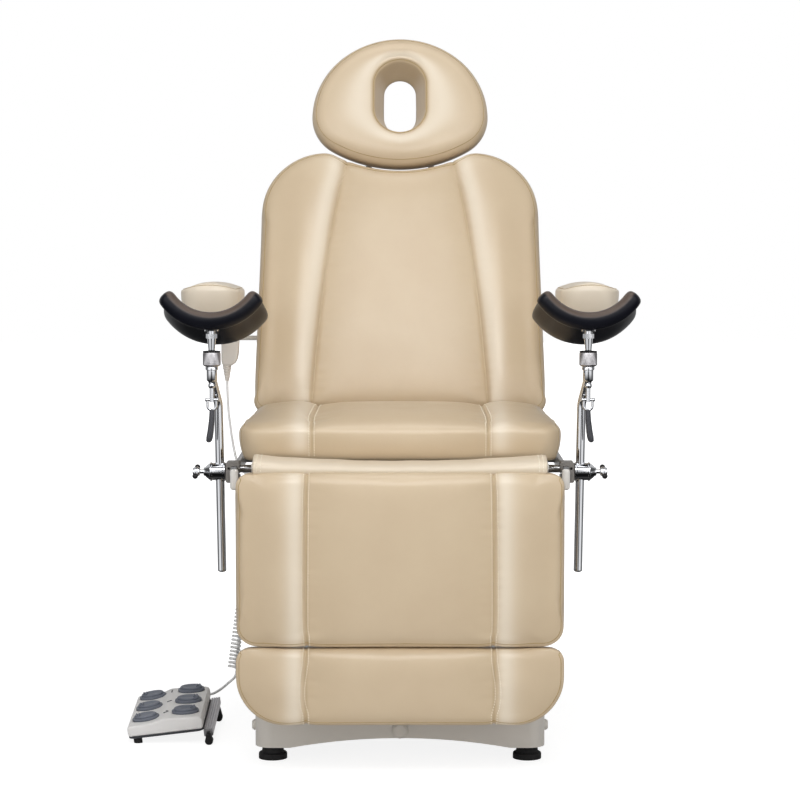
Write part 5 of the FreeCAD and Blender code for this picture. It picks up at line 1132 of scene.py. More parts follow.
def stitch_rows(name, tree, lines):
    """Mesh of all the stitches along some lines, laid on the cover with a slight slant."""
    points, faces = [], []
    for line in lines:
        spots, ways = even_points(line, STITCH_PITCH)
        for spot, way in zip(spots, ways):
            near, normal, face, distance = tree.find_nearest(Vector(spot))
            up = normal.normalized()
            ahead = Vector(way) - up * Vector(way).dot(up)
            if ahead.length < 1e-7:
                continue
            ahead = Matrix.Rotation(STITCH_SLANT, 3, up) @ ahead.normalized()
            basis = Matrix((ahead.cross(up), ahead, up)).transposed()
            first = len(points)
            centre = near + up * 0.00015
            points += [basis @ Vector(p) + centre for p in STITCH_POINTS]
            faces += [[first + i for i in face] for face in STITCH_FACES]
    return mesh_object(name, points, faces)


def welt_line(name, tree, points, closed):
    """Thin seam line along a pad's edge, laid on its cover."""
    obj = spline_object(name, [tree.find_nearest(Vector(point))[0] for point in points], 2, closed)
    thicken(obj, WELT_R, 1, False)
    return obj


def open_welt(welt, index, base_start, end):
    """Edge line without its foot or head side: both its ends run on down the pad's side at the corners."""
    rows, count = index.shape
    total = len(welt)
    first = -1 if end == "foot" else count + rows - 2
    last = count if end == "foot" else first + count - 1
    around = [int(welt[slot % total]) for slot in range(last, first + total + 1)]
    rings = range(int(welt[0]) + total, base_start, total)
    return [start + last for start in rings][::-1] + around + [start + first % total for start in rings]


def sewn_pad(pad, sides, columns, face, seam, body, node, rows, seed,
             pressure=4.0, cap=0.006, highlight_share=0.0, open_end=None):
    """Makes one upholstered pad with its seams, stitches and welt, and sets it on its body."""
    obj, index, welt, base_start = build_pad(pad, sides, columns, rows, face, seam)
    mesh = obj.data
    if open_end:
        welt = open_welt(welt, index, base_start, open_end)
    sink_seams(obj)
    gap = read_attribute(mesh, "gap")
    rise = read_attribute(mesh, "rise")
    held = np.flatnonzero((np.abs(gap) < STITCH_GAP + 0.0005) | (rise < 0.25))
    puffed(obj, held, pressure, cap)
    rough = coordinates(mesh)
    lines = []
    if seam is not None:
        row_gap = gap[index[0]]
        for column in np.flatnonzero(np.abs(np.abs(row_gap) - STITCH_GAP) < 1e-4):
            lines.append(stitch_line(rough, index, column, base_start))
    finish_pad(obj, [rough[welt]], lines, body, node, seed, highlight_share, open_end is None)


def finish_pad(obj, welts, lines, body, node, seed, highlight_share=0.0, closed=True):
    """Smooths and gathers a pad's cover, then sews its welts and rows of stitches onto it."""
    name = obj.name
    subdivided(obj, 1)
    pucker(obj, seed, highlight_share)
    smooth(obj)
    tree = surface_tree(obj)
    dress(obj, "leatherette", body, node)
    for order, points in enumerate(welts, 1):
        welt = welt_line("%s_welt_%d" % (name, order), tree, points, closed)
        dress(welt, "seam", body, slot="leatherette")
    if lines:
        threads = stitch_rows(name + "_stitches", tree, lines)
        smooth(threads)
        dress(threads, "thread", body, slot="leatherette")


def stitch_line(points, index, column, base_start):
    """Line of cover points along one column, carried over the foot and head edges onto the sides."""
    rows, count = index.shape
    ring_total = 2 * (rows + count) - 4
    face_total = rows * count
    foot_slot = column
    head_slot = (count - 1) + (rows - 1) + (count - 1 - column)
    foot, head = [], []
    for start in range(face_total, base_start - ring_total, ring_total):
        foot.append(start + foot_slot)
        head.append(start + head_slot)
    line = foot[::-1] + [int(i) for i in index[:, column]] + head
    return points[line]


def soft_step(values, start, end):
    t = np.clip((values - start) / (end - start), 0, 1)
    return t * t * (3 - 2 * t)


def pad_face(thick, length, seam, rim, panel, crown, fall, low_drop, high_drop):
    """Height of a pad's face: a flat panel between bolsters that rise from the seams and fall to the rim."""
    def face(a, b):
        line = seam(b)
        gap = np.abs(a) - line
        inside = np.clip(1 - (a / line) ** 2, 0, 1)
        across = np.clip(gap / (rim - line), 0, 1)
        climb = np.sin(np.pi * np.clip(across / BOLSTER_CREST, 0, 1) ** 0.6 / 2) ** 2
        swell = climb - soft_step(across, 0.25, 1.0)
        ends = soft_step(b, 0.0, BOLSTER_EASE) * soft_step(length - b, 0.0, BOLSTER_EASE)
        level = thick - FACE_DROP + panel * inside + crown * swell * (0.4 + 0.6 * ends) - fall * across ** 1.6
        level -= low_drop * (1 - soft_step(b, 0.0, END_EASE))
        level -= high_drop * (1 - soft_step(length - b, 0.0, END_EASE))
        return level
    return face


UP = Vector((0, 0, 1))
FRONT = Vector((0, -1, 0))
REAR = Vector((0, 1, 0))
BACK_UP = Vector((0, math.sin(BACK_LEAN), math.cos(BACK_LEAN)))
BACK_OUT = Vector((0, -math.cos(BACK_LEAN), math.sin(BACK_LEAN)))


def straight_seam(place):
    def seam(b):
        return np.full(np.shape(b), place)
    return seam


def banded(low, high, inner, outer):
    def columns(end, reach):
        return seam_columns(high if end else low, reach, inner, outer)
    return columns


def straight_pad(pad, sides, length, seam_x, inner, rows, swell, body, node, seed, open_end):
    """Pad with two straight seams, its face shaped by the given panel, crown, fall and drops of its ends."""
    seam = straight_seam(seam_x)
    face = pad_face(pad.thick, length, seam, PAD_HALF - pad.edge_r, *swell)
    sewn_pad(pad, sides, banded(seam_x, seam_x, inner, 10), face, seam, body, node, rows, seed,
             open_end=open_end)


def seat_pad():
    pad = Pad("seat_pad", SEAT_PLACE, REAR, UP, SEAT_T, SEAT_EDGE_R)
    sides = rounded_sides(PAD_HALF + PAD_SWELL, PAD_HALF, SEAT_DEPTH, r_low=0.046, r_high=0.030)
    straight_pad(pad, sides, SEAT_DEPTH, SEAT_SEAM, inner=16, rows=40,
                 swell=(0.001, 0.006, 0.003, 0.010, 0.004),
                 body="seat", node="seat_cushion", seed=0.4, open_end="foot")


def legrest_pad():
    pad = Pad("legrest_pad", LEG_PLACE, UP, FRONT, LEG_T, LEG_EDGE_R)
    half = PAD_HALF + PAD_SWELL
    sides = rounded_sides(half, half, LEG_LEN, r_low=LEG_CORNER_R, r_high=0.025, bulge=0.001)
    straight_pad(pad, sides, LEG_LEN, LEG_SEAM, inner=17, rows=32,
                 swell=(0.001, 0.011, 0.013, 0.003, 0.003),
                 body="legrest", node="legrest_cushion", seed=1.7, open_end="head")


def footrest_pad():
    pad = Pad("footrest_pad", FOOT_PLACE, UP, FRONT, LEG_T, LEG_EDGE_R)
    half = PAD_HALF + PAD_SWELL
    sides = rounded_sides(half, half, FOOT_LEN, r_low=FOOT_CORNER_R, r_high=0.024)
    straight_pad(pad, sides, FOOT_LEN, FOOT_SEAM, inner=17, rows=12,
                 swell=(0.001, 0.011, 0.013, 0.003, 0.002),
                 body="footrest", node="footrest_cushion", seed=2.9, open_end="head")


def back_seam(b):
    """Seam of the backrest: nearly upright low down, leaning in towards the shoulders."""
    t = np.clip(np.asarray(b) / BACK_LEN, 0, 1)
    return BACK_SEAM_LOW + (BACK_SEAM_HIGH - BACK_SEAM_LOW) * (0.55 * t + 0.45 * t ** 3)


def backrest_pad():
    pad = Pad("backrest_pad", BACK_HINGE + BACK_UP * BACK_START + BACK_OUT * BACK_BASE, BACK_UP, BACK_OUT,
              BACK_T, BACK_EDGE_R)
    face = pad_face(BACK_T, BACK_LEN, back_seam, PAD_HALF - BACK_EDGE_R,
                    panel=0.001, crown=0.011, fall=0.011, low_drop=0.004, high_drop=0.004)
    sewn_pad(pad, back_sides, banded(BACK_SEAM_LOW, BACK_SEAM_HIGH, inner=15, outer=11), face, back_seam,
             "backrest", "back_cushion", rows=54, seed=4.2)


HEAD_START = 0.598
HEAD_SPOKES = 128


def head_half(inset):
    """Right half of the head pad's outline from its base to its crown, drawn in by an inset."""
    base_r = HOLLOW_R - HEAD_GAP
    low = np.array([math.sin(HEAD_BASE_TURN), 1 - math.cos(HEAD_BASE_TURN)]) * base_r
    corner_r = (HEAD_HALF - low[0]) / (1 - math.sin(HEAD_BASE_TURN))
    side_y = low[1] + corner_r * math.cos(HEAD_BASE_TURN)
    rise = HEAD_LEN - side_y
    c, n = math.cos(HEAD_FLANK_TURN), math.sin(HEAD_FLANK_TURN)
    top_r = (HEAD_HALF - (1 - c) * rise / n) / (c - (1 - c) * (1 - n) / n)
    flank_r = (rise - top_r * (1 - n)) / n
    turn = math.degrees(HEAD_FLANK_TURN)
    base_end = math.degrees(HEAD_BASE_TURN) - 90
    return np.vstack([
        arc_points(0, base_r, base_r - inset, -90, base_end, 30),
        arc_points(HEAD_HALF - corner_r, side_y, corner_r - inset, base_end, 0, 24)[1:],
        arc_points(HEAD_HALF - flank_r, side_y, flank_r - inset, 0, turn, 30)[1:],
        arc_points(0, HEAD_LEN - top_r, top_r - inset, turn, 90, 30)[1:],
    ])


def slot_half(grow):
    """Right half of the face opening's outline, grown by a given width."""
    r = FACE_HOLE_HALF + grow
    run = FACE_HOLE_LEN / 2 - FACE_HOLE_HALF
    rise = np.linspace(-run, run, 16)[1:-1]
    return np.vstack([
        arc_points(0, FACE_HOLE_CENTRE - run, r, -90, 0, 24),
        np.column_stack([np.full(len(rise), r), FACE_HOLE_CENTRE + rise]),
        arc_points(0, FACE_HOLE_CENTRE + run, r, 0, 90, 24),
    ])


def spoke_ring(half):
    """Ring of points where evenly turned spokes from the opening's centre meet an outline."""
    turns = np.linspace(-math.pi, math.pi, HEAD_SPOKES, endpoint=False)
    rise = half[:, 1] - FACE_HOLE_CENTRE
    reach = np.interp(np.abs(turns), np.arctan2(half[:, 0], -rise), np.hypot(half[:, 0], rise))
    return np.column_stack([reach * np.sin(turns), FACE_HOLE_CENTRE - reach * np.cos(turns)])


def head_pad():
    """Dome-shaped head pad with a soft dish round its face opening and a seam round the opening's rim."""
    place = BACK_HINGE + BACK_UP * HEAD_START + BACK_OUT * (BACK_BASE + BACK_T - HEAD_T)
    pad = Pad("head_pad", place, BACK_UP, BACK_OUT, HEAD_T, HEAD_EDGE_R)
    rim = HEAD_T - HEAD_RIM_DROP
    top = HEAD_T - HEAD_FACE_DROP
    rings, gaps = [], []

    def ring(points, level, gap):
        rings.append(np.column_stack([points, np.full(len(points), level)]))
        gaps.append(np.full(len(points), gap))

    for share in (0.04, 0.3, 0.55, 0.75, 0.88):
        ring(spoke_ring(slot_half(FACE_HOLE_TAPER * (share - 0.95))), rim * share, (share - 1) * rim)
    for grow, level, gap in ((0.0005, rim - 0.003, -0.004), (0.003, rim, 0.0), (0.007, rim + 0.0018, 0.004)):
        ring(spoke_ring(slot_half(grow)), level, gap)
    inner, outer = spoke_ring(slot_half(0.011)), spoke_ring(head_half(HEAD_EDGE_R))
    for share in np.linspace(0, 1, 12):
        level = top - HEAD_DISH * (1 - share) ** 2
        ring(inner * (1 - share) + outer * share, level, 0.010 + 0.05 * share)
    welt = None
    for inset, drop in side_rings(HEAD_EDGE_R, HEAD_T):
        if abs(inset - HEAD_EDGE_R * (1 - math.sin(math.radians(WELT_TURN)))) < 1e-6:
            welt = len(rings)
        ring(spoke_ring(head_half(inset)), top - drop * (1 - HEAD_FACE_DROP / HEAD_T), 1.0)
    base, deep = spoke_ring(head_half(SIDE_PULL + BASE_ROUND)), spoke_ring(slot_half(-FACE_HOLE_TAPER))
    for share in (0.0, 0.33, 0.67, 1.0):
        ring(base * (1 - share) + deep * share, 0.0, 1.0)
    local = np.concatenate(rings)
    index = np.arange(len(local)).reshape(len(rings), HEAD_SPOKES)
    faces = []
    for order in range(len(rings)):
        faces += ring_quads(index[order], index[(order + 1) % len(rings)])
    obj = mesh_object(pad.name, pad.world(local), faces)
    face_outwards(obj)
    write_attribute(obj.data, "gap", np.concatenate(gaps))
    write_attribute(obj.data, "along", np.zeros(len(local)))
    write_attribute(obj.data, "rise", local[:, 2] / HEAD_T)
    held = np.concatenate([index[:7].ravel(), index[-5:].ravel()])
    puffed(obj, held, 4.0, 0.005)
    rough = coordinates(obj.data)
    finish_pad(obj, [rough[index[welt]], rough[index[6]]], [], "headrest", "headrest_cushion", 0.9)


def arm_pads():
    """Arm pads with a domed top that falls away to both sides."""
    along = Vector((0, math.cos(ARM_RISE), math.sin(ARM_RISE)))
    out = Vector((0, -math.sin(ARM_RISE), math.cos(ARM_RISE)))
    low = ARM_FRONT_TOP - ARM_T * math.cos(ARM_RISE)
    sides = rounded_sides(ARM_HALF, ARM_HALF - 0.010, ARM_LEN, ARM_CORNER_R, ARM_REAR_R)

    def face(a, b):
        return ARM_T - 0.001 - ARM_FALL * np.clip(np.abs(a) / (ARM_HALF - ARM_EDGE_R), 0, 1) ** 2

    def columns(end, reach):
        return np.linspace(-reach, reach, 15)

    for side, body in ((-1, "left"), (1, "right")):
        pad = Pad(body + "_arm_pad", (side * ARM_X, ARM_FRONT_Y, low), along, out, ARM_T, ARM_EDGE_R)
        # Painted highlight: the share 0.65 makes the arm pads' whole cover paler
        sewn_pad(pad, sides, columns, face, None, body + "_armrest", body + "_armrest_pad",
                 rows=40, seed=2.2 + side, pressure=3.0, cap=0.003, highlight_share=0.65)


def flap():
    """Leatherette strip over the knee hinge: a soft roll, lower in the middle, with stitched ends."""
    bend = 2 * FLAP_CREST - (FLAP_SEAT_END + FLAP_LEG_END) / 2
    s = np.linspace(0, 1, FLAP_ROWS)[:, None]
    roll = (1 - s) ** 2 * FLAP_SEAT_END + 2 * s * (1 - s) * bend + s ** 2 * FLAP_LEG_END
    across = np.linspace(-FLAP_HALF, FLAP_HALF, FLAP_COLUMNS)
    slack = 1 - s ** 2
    sag = FLAP_SAG * (1 - (across / FLAP_HALF) ** 2)[None, :]
    wave = FLAP_WAVE * np.sin(across * 61) * np.sin(across * 23 + 1.0)
    grid = np.empty((len(roll), len(across), 3))
    grid[:, :, 0] = across
    grid[:, :, 1] = roll[:, :1] + slack * (0.25 * sag - wave)
    grid[:, :, 2] = roll[:, 1:] - slack * (sag - wave)
    index = np.arange(grid.shape[0] * grid.shape[1]).reshape(grid.shape[:2])
    obj = mesh_object("seat_flap_strip", grid.reshape(-1, 3), quads(index))
    thick = obj.modifiers.new("thick", "SOLIDIFY")
    thick.thickness = FLAP_T
    thick.offset = 0
    apply_modifiers(obj)
    subdivided(obj, 1)
    smooth(obj)
    height = coordinates(obj.data)[:, 2]
    # Painted shade darkening the strip towards its lower edge at the leg pad, and an even painted highlight
    # over the whole strip
    write_attribute(obj.data, "painted_shade", 0.5 * soft_step(-height, -FLAP_CREST[1] + 0.004, -FLAP_LEG_END[1]))
    write_attribute(obj.data, "painted_highlight", np.full(len(obj.data.vertices), 0.45))
    tree = surface_tree(obj)
    lines = [grid[1:-1, column] for column in (1, 2, -3, -2)]
    threads = stitch_rows("seat_flap_stitches", tree, lines)
    dress(obj, "leatherette", None, "seat_flap")
    dress(threads, "thread", None, slot="leatherette")
    for piece in (obj, threads):
        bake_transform(piece)


# Knee troughs: section along the trough as (place along it, distance from its axis), once round
TROUGH_SECTION = (
    (-0.0975, 0.1060), (-0.0950, 0.0960), (-0.0880, 0.0895), (-0.0740, 0.0870), (-0.0560, 0.0880),
    (-0.0200, 0.0890), (0.0400, 0.0890), (0.0780, 0.0900), (0.0920, 0.0960), (0.0975, 0.1080),
    (0.0950, 0.1200), (0.0820, 0.1270), (0.0400, 0.1260), (-0.0100, 0.1180), (-0.0460, 0.1130),
    (-0.0540, 0.1120), (-0.0600, 0.1200), (-0.0760, 0.1245), (-0.0910, 0.1180),
)
TROUGH_TOP_R = 0.1020
TROUGH_HORN = ((0.006, 0.94), (0.005, 0.80), (0.0035, 0.50))


def select_only(obj, chosen):
    """Leaves just the given vertices of an object in edit mode selected."""
    bpy.ops.object.mode_set(mode="OBJECT")
    for part in (obj.data.vertices, obj.data.edges, obj.data.polygons):
        part.foreach_set("select", [False] * len(part))
    for i in chosen:
        obj.data.vertices[i].select = True
    bpy.ops.object.mode_set(mode="EDIT")
    bpy.ops.mesh.select_mode(type="VERT")


def knee_trough(side, body):
    """Moulded trough: its section spun about the trough's axis, each end drawn out to a round horn."""
    axis = Vector((0, 0, TROUGH_AXIS_UP))
    sine, cosine = math.sin(TROUGH_WRAP), math.cos(TROUGH_WRAP)
    section = [axis + Vector((-r * sine, y + TROUGH_BACK, -r * cosine)) for y, r in TROUGH_SECTION]
    obj = outline(body + "_trough_shell", section, "NOTHING")
    edit_all(obj)
    bpy.ops.mesh.spin(steps=22, angle=2 * TROUGH_WRAP, center=axis, axis=(0, 1, 0))
    bpy.ops.object.mode_set(mode="OBJECT")
    for end in (-1, 1):
        turn = end * TROUGH_WRAP
        ahead = Vector((math.cos(turn), 0, math.sin(turn))) * end
        tip = []
        for vertex in obj.data.vertices:
            arm = vertex.co - axis
            if abs(math.atan2(arm.x, -arm.z) - turn) < 0.01:
                tip.append(vertex.index)
        select_only(obj, tip)
        middle = axis + Vector((0, TROUGH_BACK, 0)) + Vector((math.sin(turn), 0, -math.cos(turn))) * HORN_R
        for step, shrink in TROUGH_HORN:
            bpy.ops.mesh.extrude_region_move(TRANSFORM_OT_translate={"value": ahead * step})
            middle += ahead * step
            lengthwise = 1 - (1 - shrink) * HORN_SHORTEN
            bpy.ops.transform.resize(value=(shrink, lengthwise, shrink), center_override=middle)
        bpy.ops.mesh.edge_face_add()
        bpy.ops.mesh.poke()
        bpy.ops.object.mode_set(mode="OBJECT")
    face_outwards(obj)
    place = Matrix.Translation((side * STEM_X, STEM_Y, TROUGH_SEAT_Z)) @ Matrix.Rotation(-TROUGH_TILT, 4, "X")
    subdivided(obj, 2)
    points = coordinates(obj.data)
    reach = np.hypot(points[:, 0], points[:, 2] - TROUGH_AXIS_UP)
    write_attribute(obj.data, "lining", np.clip(0.5 + (TROUGH_TOP_R - reach) / LINING_BLEND, 0, 1))
    obj.data.transform(place)
    smooth(obj)
    dress(obj, "trough_black", body + "_trough", body + "_knee_trough", slot="black_moulding")
    turn = TROUGH_SEAM_TURN
    ring_centre = axis + Vector((0, TROUGH_BACK - TROUGH_SEAM_IN, 0))
    start = ring_centre + Vector((-math.sin(turn), 0, -math.cos(turn))) * TROUGH_SEAM_R
    way = Vector((math.cos(turn), 0, -math.sin(turn)))
    sweep = (ring_centre, (0, 1, 0), 2 * turn)
    seam = drawn_bar(body + "_trough_seam", start, way, TROUGH_SEAM_THICK, [sweep])
    seam.data.transform(place)
    smooth(seam)
    dress(seam, "seam", body + "_trough", slot="black_moulding")


# Turned pieces: sections as (radius, height), once round
COLLAR_SECTION = (
    (0.0100, 0.0130), (0.0140, 0.0130), (0.0162, 0.0148), (COLLAR_R, 0.0162), (COLLAR_R, 0.0382),
    (0.0170, 0.0402), (0.0100, 0.0402),
)
STEM_SECTION = (
    (0.0003, -0.0580), (0.0048, -0.0575), (0.0048, -0.0300), (0.0070, -0.0282), (0.0077, -0.0250),
    (0.0070, -0.0215), (0.0048, -0.0200), (0.0060, -0.0182), (0.0100, -0.0150), (0.0106, -0.0135),
    (0.0106, 0.0055), (0.0128, 0.0065), (0.0130, 0.0110), (0.0118, 0.0125), (0.0118, 0.0200),
    (0.0003, 0.0200),
)
GRIP_SECTION = (
    (0.0003, 0.0000), (0.0046, -0.0005), (0.0052, -0.0040), (0.0056, -0.0200), (0.0064, -0.0430),
    (0.0067, -0.0550), (0.0058, -0.0620), (0.0030, -0.0650), (0.0003, -0.0655),
)
CLAMP_SECTION = (
    (0.0060, 0.0000), (0.0165, 0.0000), (0.0186, 0.0014), (0.0186, 0.0048), (0.0172, 0.0060),
    (0.0172, 0.0268), (0.0186, 0.0280), (0.0186, 0.0304), (0.0168, 0.0318), (0.0128, 0.0372),
    (0.0086, 0.0414), (0.0080, 0.0440), (0.0060, 0.0440),
)
SCREW_SECTION = (
    (0.0003, 0.0420), (0.0042, 0.0420), (0.0042, 0.0505), (0.0078, 0.0520), (0.0090, 0.0552),
    (0.0090, 0.0615), (0.0078, 0.0650), (0.0003, 0.0668),
)
RELIEF_SECTION = (
    (0.0003, 0.0030), (0.0094, 0.0030), (0.0094, -0.0020), (0.0078, -0.0032), (0.0090, -0.0044),
    (0.0088, -0.0080), (0.0070, -0.0092), (0.0080, -0.0104), (0.0076, -0.0140), (0.0060, -0.0152),
    (0.0070, -0.0164), (0.0066, -0.0200), (0.0052, -0.0212), (0.0060, -0.0224), (0.0056, -0.0260),
    (0.0044, -0.0272), (0.0048, -0.0284), (0.0042, -0.0330), (0.0003, -0.0334),
)

# Hand control seen from the front, once round
HANDSET_OUTLINE = (
    (-0.3810, 0.8660), (-0.3850, 0.8620), (-0.3858, 0.8500), (-0.3858, 0.7860), (-0.3846, 0.7775),
    (-0.3790, 0.7735), (-0.3670, 0.7738), (-0.3606, 0.7756), (-0.3550, 0.7802), (-0.3506, 0.7890),
    (-0.3482, 0.8030), (-0.3474, 0.8200), (-0.3474, 0.8500), (-0.3482, 0.8620), (-0.3522, 0.8660),
)


def turned(name, section, steps):
    """Turned piece: a closed section of (radius, height) spun once round the upright axis."""
    obj = outline(name, [(r, 0, z) for r, z in section], "NOTHING")
    edit_all(obj)
    bpy.ops.mesh.spin(steps=steps, angle=2 * math.pi, center=(0, 0, 0), axis=(0, 0, 1))
    bpy.ops.mesh.select_all(action="SELECT")
    bpy.ops.mesh.remove_doubles(threshold=0.00002)
    bpy.ops.object.mode_set(mode="OBJECT")
    face_outwards(obj)
    return obj


def drawn_bar(name, start, way, radius, moves):
    """Round bar from a disc: extruded by each vector, spun about each (centre, axis, angle)."""
    obj = added(bpy.ops.mesh.primitive_circle_add, name, vertices=BAR_SIDES, radius=radius, fill_type="NGON")
    obj.data.transform(Matrix.Translation(start) @ way.to_track_quat("Z", "Y").to_matrix().to_4x4())
    edit_all(obj)
    for move in moves:
        if isinstance(move, Vector):
            bpy.ops.mesh.extrude_region_move(TRANSFORM_OT_translate={"value": move})
        else:
            centre, axis, angle = move
            bpy.ops.mesh.spin(steps=BEND_STEPS, angle=angle, center=centre, axis=axis)
    bpy.ops.object.mode_set(mode="OBJECT")
    face_outwards(obj)
    return obj


def ball_collar(side, body):
    """Clamping collar round the ball: fine upright knurling between chamfers, and a dark ring on top as
    painted shadow of its top rim.
    """
    place = Vector((side * STEM_X, STEM_Y, COLLAR_LOW))
    obj = turned(body + "_collar_sleeve", COLLAR_SECTION, steps=2 * COLLAR_RIDGES)
    for vertex in obj.data.vertices:
        reach = math.hypot(vertex.co.x, vertex.co.y)
        tooth = round(math.atan2(vertex.co.y, vertex.co.x) / (math.pi / COLLAR_RIDGES))
        if reach > COLLAR_R - 0.0004 and tooth % 2:
            vertex.co.x *= GROOVE_SHARE
            vertex.co.y *= GROOVE_SHARE
    obj.data.transform(Matrix.Translation(place))
    smooth(obj, angle=40)
    dress(obj, "satin_aluminium", body + "_collar", body + "_ball_collar")
    # Painted shadow: a thin black ring laid on the collar's top where its rim casts a dark shadow line
    ring = added(bpy.ops.mesh.primitive_torus_add, body + "_collar_ring", major_radius=SHADOW_RING_MAJOR_R,
                 minor_radius=SHADOW_RING_MINOR_R, major_segments=48, minor_segments=12)
    ring.data.transform(Matrix.Translation(place + Vector((0, 0, SHADOW_RING_UP))))
    smooth(ring)
    dress(ring, "black_rubber", body + "_collar")


def support_rod(side, body):
    """Chrome support rod, bent in under the stem, whose neck carries a bead and a slim tongue."""
    foot = Vector((side * ROD_FOOT.x, ROD_FOOT.y, ROD_FOOT.z))
    bend = Vector((side * ROD_BEND.x, ROD_BEND.y, ROD_BEND.z))
    joint = Vector((side * STEM_X, STEM_Y, COLLAR_LOW - STEM_OVERLAP))
    low_way, high_way = (bend - foot).normalized(), (joint - bend).normalized()
    angle = low_way.angle(high_way)
    inward = (high_way - low_way * low_way.dot(high_way)).normalized()
    arc_start, arc_end = bend - low_way * ROD_BEND_RUN, bend + high_way * ROD_BEND_RUN
    centre = arc_start + inward * (ROD_BEND_RUN / math.tan(angle / 2))
    rod = drawn_bar(body + "_rod_bar", foot, low_way, ROD_R,
                    [arc_start - foot, (centre, high_way.cross(low_way), angle), joint - arc_end])
    stem = turned(body + "_rod_stem", STEM_SECTION, steps=40)
    stem.data.transform(Matrix.Translation((side * STEM_X, STEM_Y, COLLAR_LOW)))
    tip = ball("tip", ROD_R, foot, segments=32, rings=16, tall=0.5)
    join_into(rod, (stem, tip))
    smooth(rod, angle=45)
    dress(rod, "chrome", body + "_rod", body + "_support_rod")


def cam_lever(side, body):
    """Lever of the ball joint: a bow on the tongue's cross pin and a dark tapered grip below."""
    place = Vector((side * STEM_X, STEM_Y, LEVER_PIN_Z))
    leg = Vector((0, 0, -BOW_LEG))
    bow = drawn_bar(body + "_lever_bow", place - Vector((BOW_HALF, 0, 0)), leg, BOW_R,
                    [leg, (place + leg, (0, 1, 0), math.pi), -leg])
    reach = Vector((PIN_LEN, 0, 0))
    pin = drawn_bar(body + "_lever_pin", place - reach / 2, reach, PIN_R, [reach])
    ends = []
    for end in (-1, 1):
        end_place = place + Vector((end * PIN_HEAD_X, 0, 0))
        ends.append(ball("end", PIN_HEAD_R, end_place, segments=20, rings=12))
    join_into(bow, [pin] + ends)
    smooth(bow, angle=50)
    dress(bow, "chrome", body + "_lever")
    grip = turned(body + "_lever_grip", GRIP_SECTION, steps=24)
    points = coordinates(grip.data)
    points[:, 0] += side * GRIP_CURVE * (points[:, 2] / GRIP_SECTION[-1][1]) ** 2
    set_coordinates(grip.data, points)
    grip.data.transform(Matrix.Translation(place + Vector((0, 0, -GRIP_DROP))))
    smooth(grip, angle=50)
    dress(grip, "lever_grip", body + "_lever", body + "_cam_lever")


def rail_clamp(side, body):
    """Swivel barrel with its nose, the T-handled screw and the white lock lever of the rail jaw."""
    turn = Matrix.Rotation(side * math.pi / 2, 4, "Y")
    place = Matrix.Translation((side * BARREL_X, CLAMP_Y, RAIL_Z)) @ turn
    barrel = turned(body + "_clamp_barrel", CLAMP_SECTION, steps=48)
    barrel.data.transform(place)
    smooth(barrel, angle=35)
    dress(barrel, "chrome", body + "_swivel", body + "_swivel_clamp")
    screw = turned(body + "_screw_hub", SCREW_SECTION, steps=32)
    screw.data.transform(place)
    middle = Vector((side * (BARREL_X + T_BAR_OUT), CLAMP_Y, RAIL_Z))
    along = Vector((0, -math.cos(T_BAR_TILT), -math.sin(T_BAR_TILT))) * T_BAR_HALF
    cross = drawn_bar(body + "_screw_bar", middle - along, along, T_BAR_R, [2 * along])
    join_into(screw, [cross])
    smooth(screw, angle=45)
    dress(screw, "chrome", body + "_screw", body + "_clamp_screw")
    knobs = []
    for end in (-1, 1):
        knobs.append(ball(body + "_screw_knobs", T_KNOB_R, middle + along * end, segments=24, rings=14))
    knob = join_into(knobs[0], knobs[1:])
    smooth(knob)
    dress(knob, "black_rubber", body + "_screw")
    lock_place = Matrix.Translation((side * LOCK_X, LOCK_Y, LOCK_Z))
    lock = block(body + "_lock_lever", lock_place, LOCK_SIZE)
    bevelled(lock, LOCK_ROUND, segments=5)
    smooth(lock, angle=50)
    dress(lock, "lock_lever_white", body + "_jaw_lever", body + "_jaw_lever")


def handset():
    """Hand control with a round lower corner and a ribbed relief for its lead."""
    front = [(x, HANDSET_Y - HANDSET_D / 2, z) for x, z in HANDSET_OUTLINE]
    obj = extruded("handset_body", front, (0, HANDSET_D, 0))
    bevelled(obj, HANDSET_ROUND, segments=4, angle=60)
    relief = turned("handset_relief", RELIEF_SECTION, steps=32)
    relief.data.transform(Matrix.Translation((HAND_CORD_EXIT.x, HANDSET_Y, HANDSET_LOW)))
    join_into(obj, [relief])
    smooth(obj, angle=40)
    dress(obj, "handset_taupe", "backrest", "handset_case")


# Foot control: outline of its housing across, as (place across, height), once round
HOUSING_SECTION = (
    (0.0020, 0.0040), (0.0000, 0.0110), (0.0000, 0.0215), (0.0035, 0.0262), (0.0200, 0.0275),
    (0.0440, 0.0283), (0.0600, 0.0300), (0.0700, 0.0332), (0.0780, 0.0352), (0.0880, 0.0350),
    (0.1210, 0.0330), (0.1480, 0.0312), (0.1550, 0.0290), (0.1580, 0.0235), (0.1580, 0.0110),
    (0.1560, 0.0040),
)
PEDAL_TIERS = (
    (0.980, -0.0012), (0.990, 0.0008), (1.015, 0.0020), (1.015, 0.0044), (0.985, 0.0056),
    (0.880, 0.0058), (0.850, 0.0048), (0.825, 0.0050), (0.850, 0.0076), (0.835, 0.0096),
    (0.780, 0.0106), (0.620, 0.0098), (0.360, 0.0084), (0.100, 0.0080),
)


def pedal_spots():
    """Number, middle on the housing's top, outer side and lean of each pedal."""
    number = 0
    for row in range(3):
        for x, level, outer, lean in PEDAL_COLUMNS:
            number += 1
            yield number, Vector((x, PEDAL_FIRST + row * PEDAL_PITCH, level)), outer, math.radians(-lean)


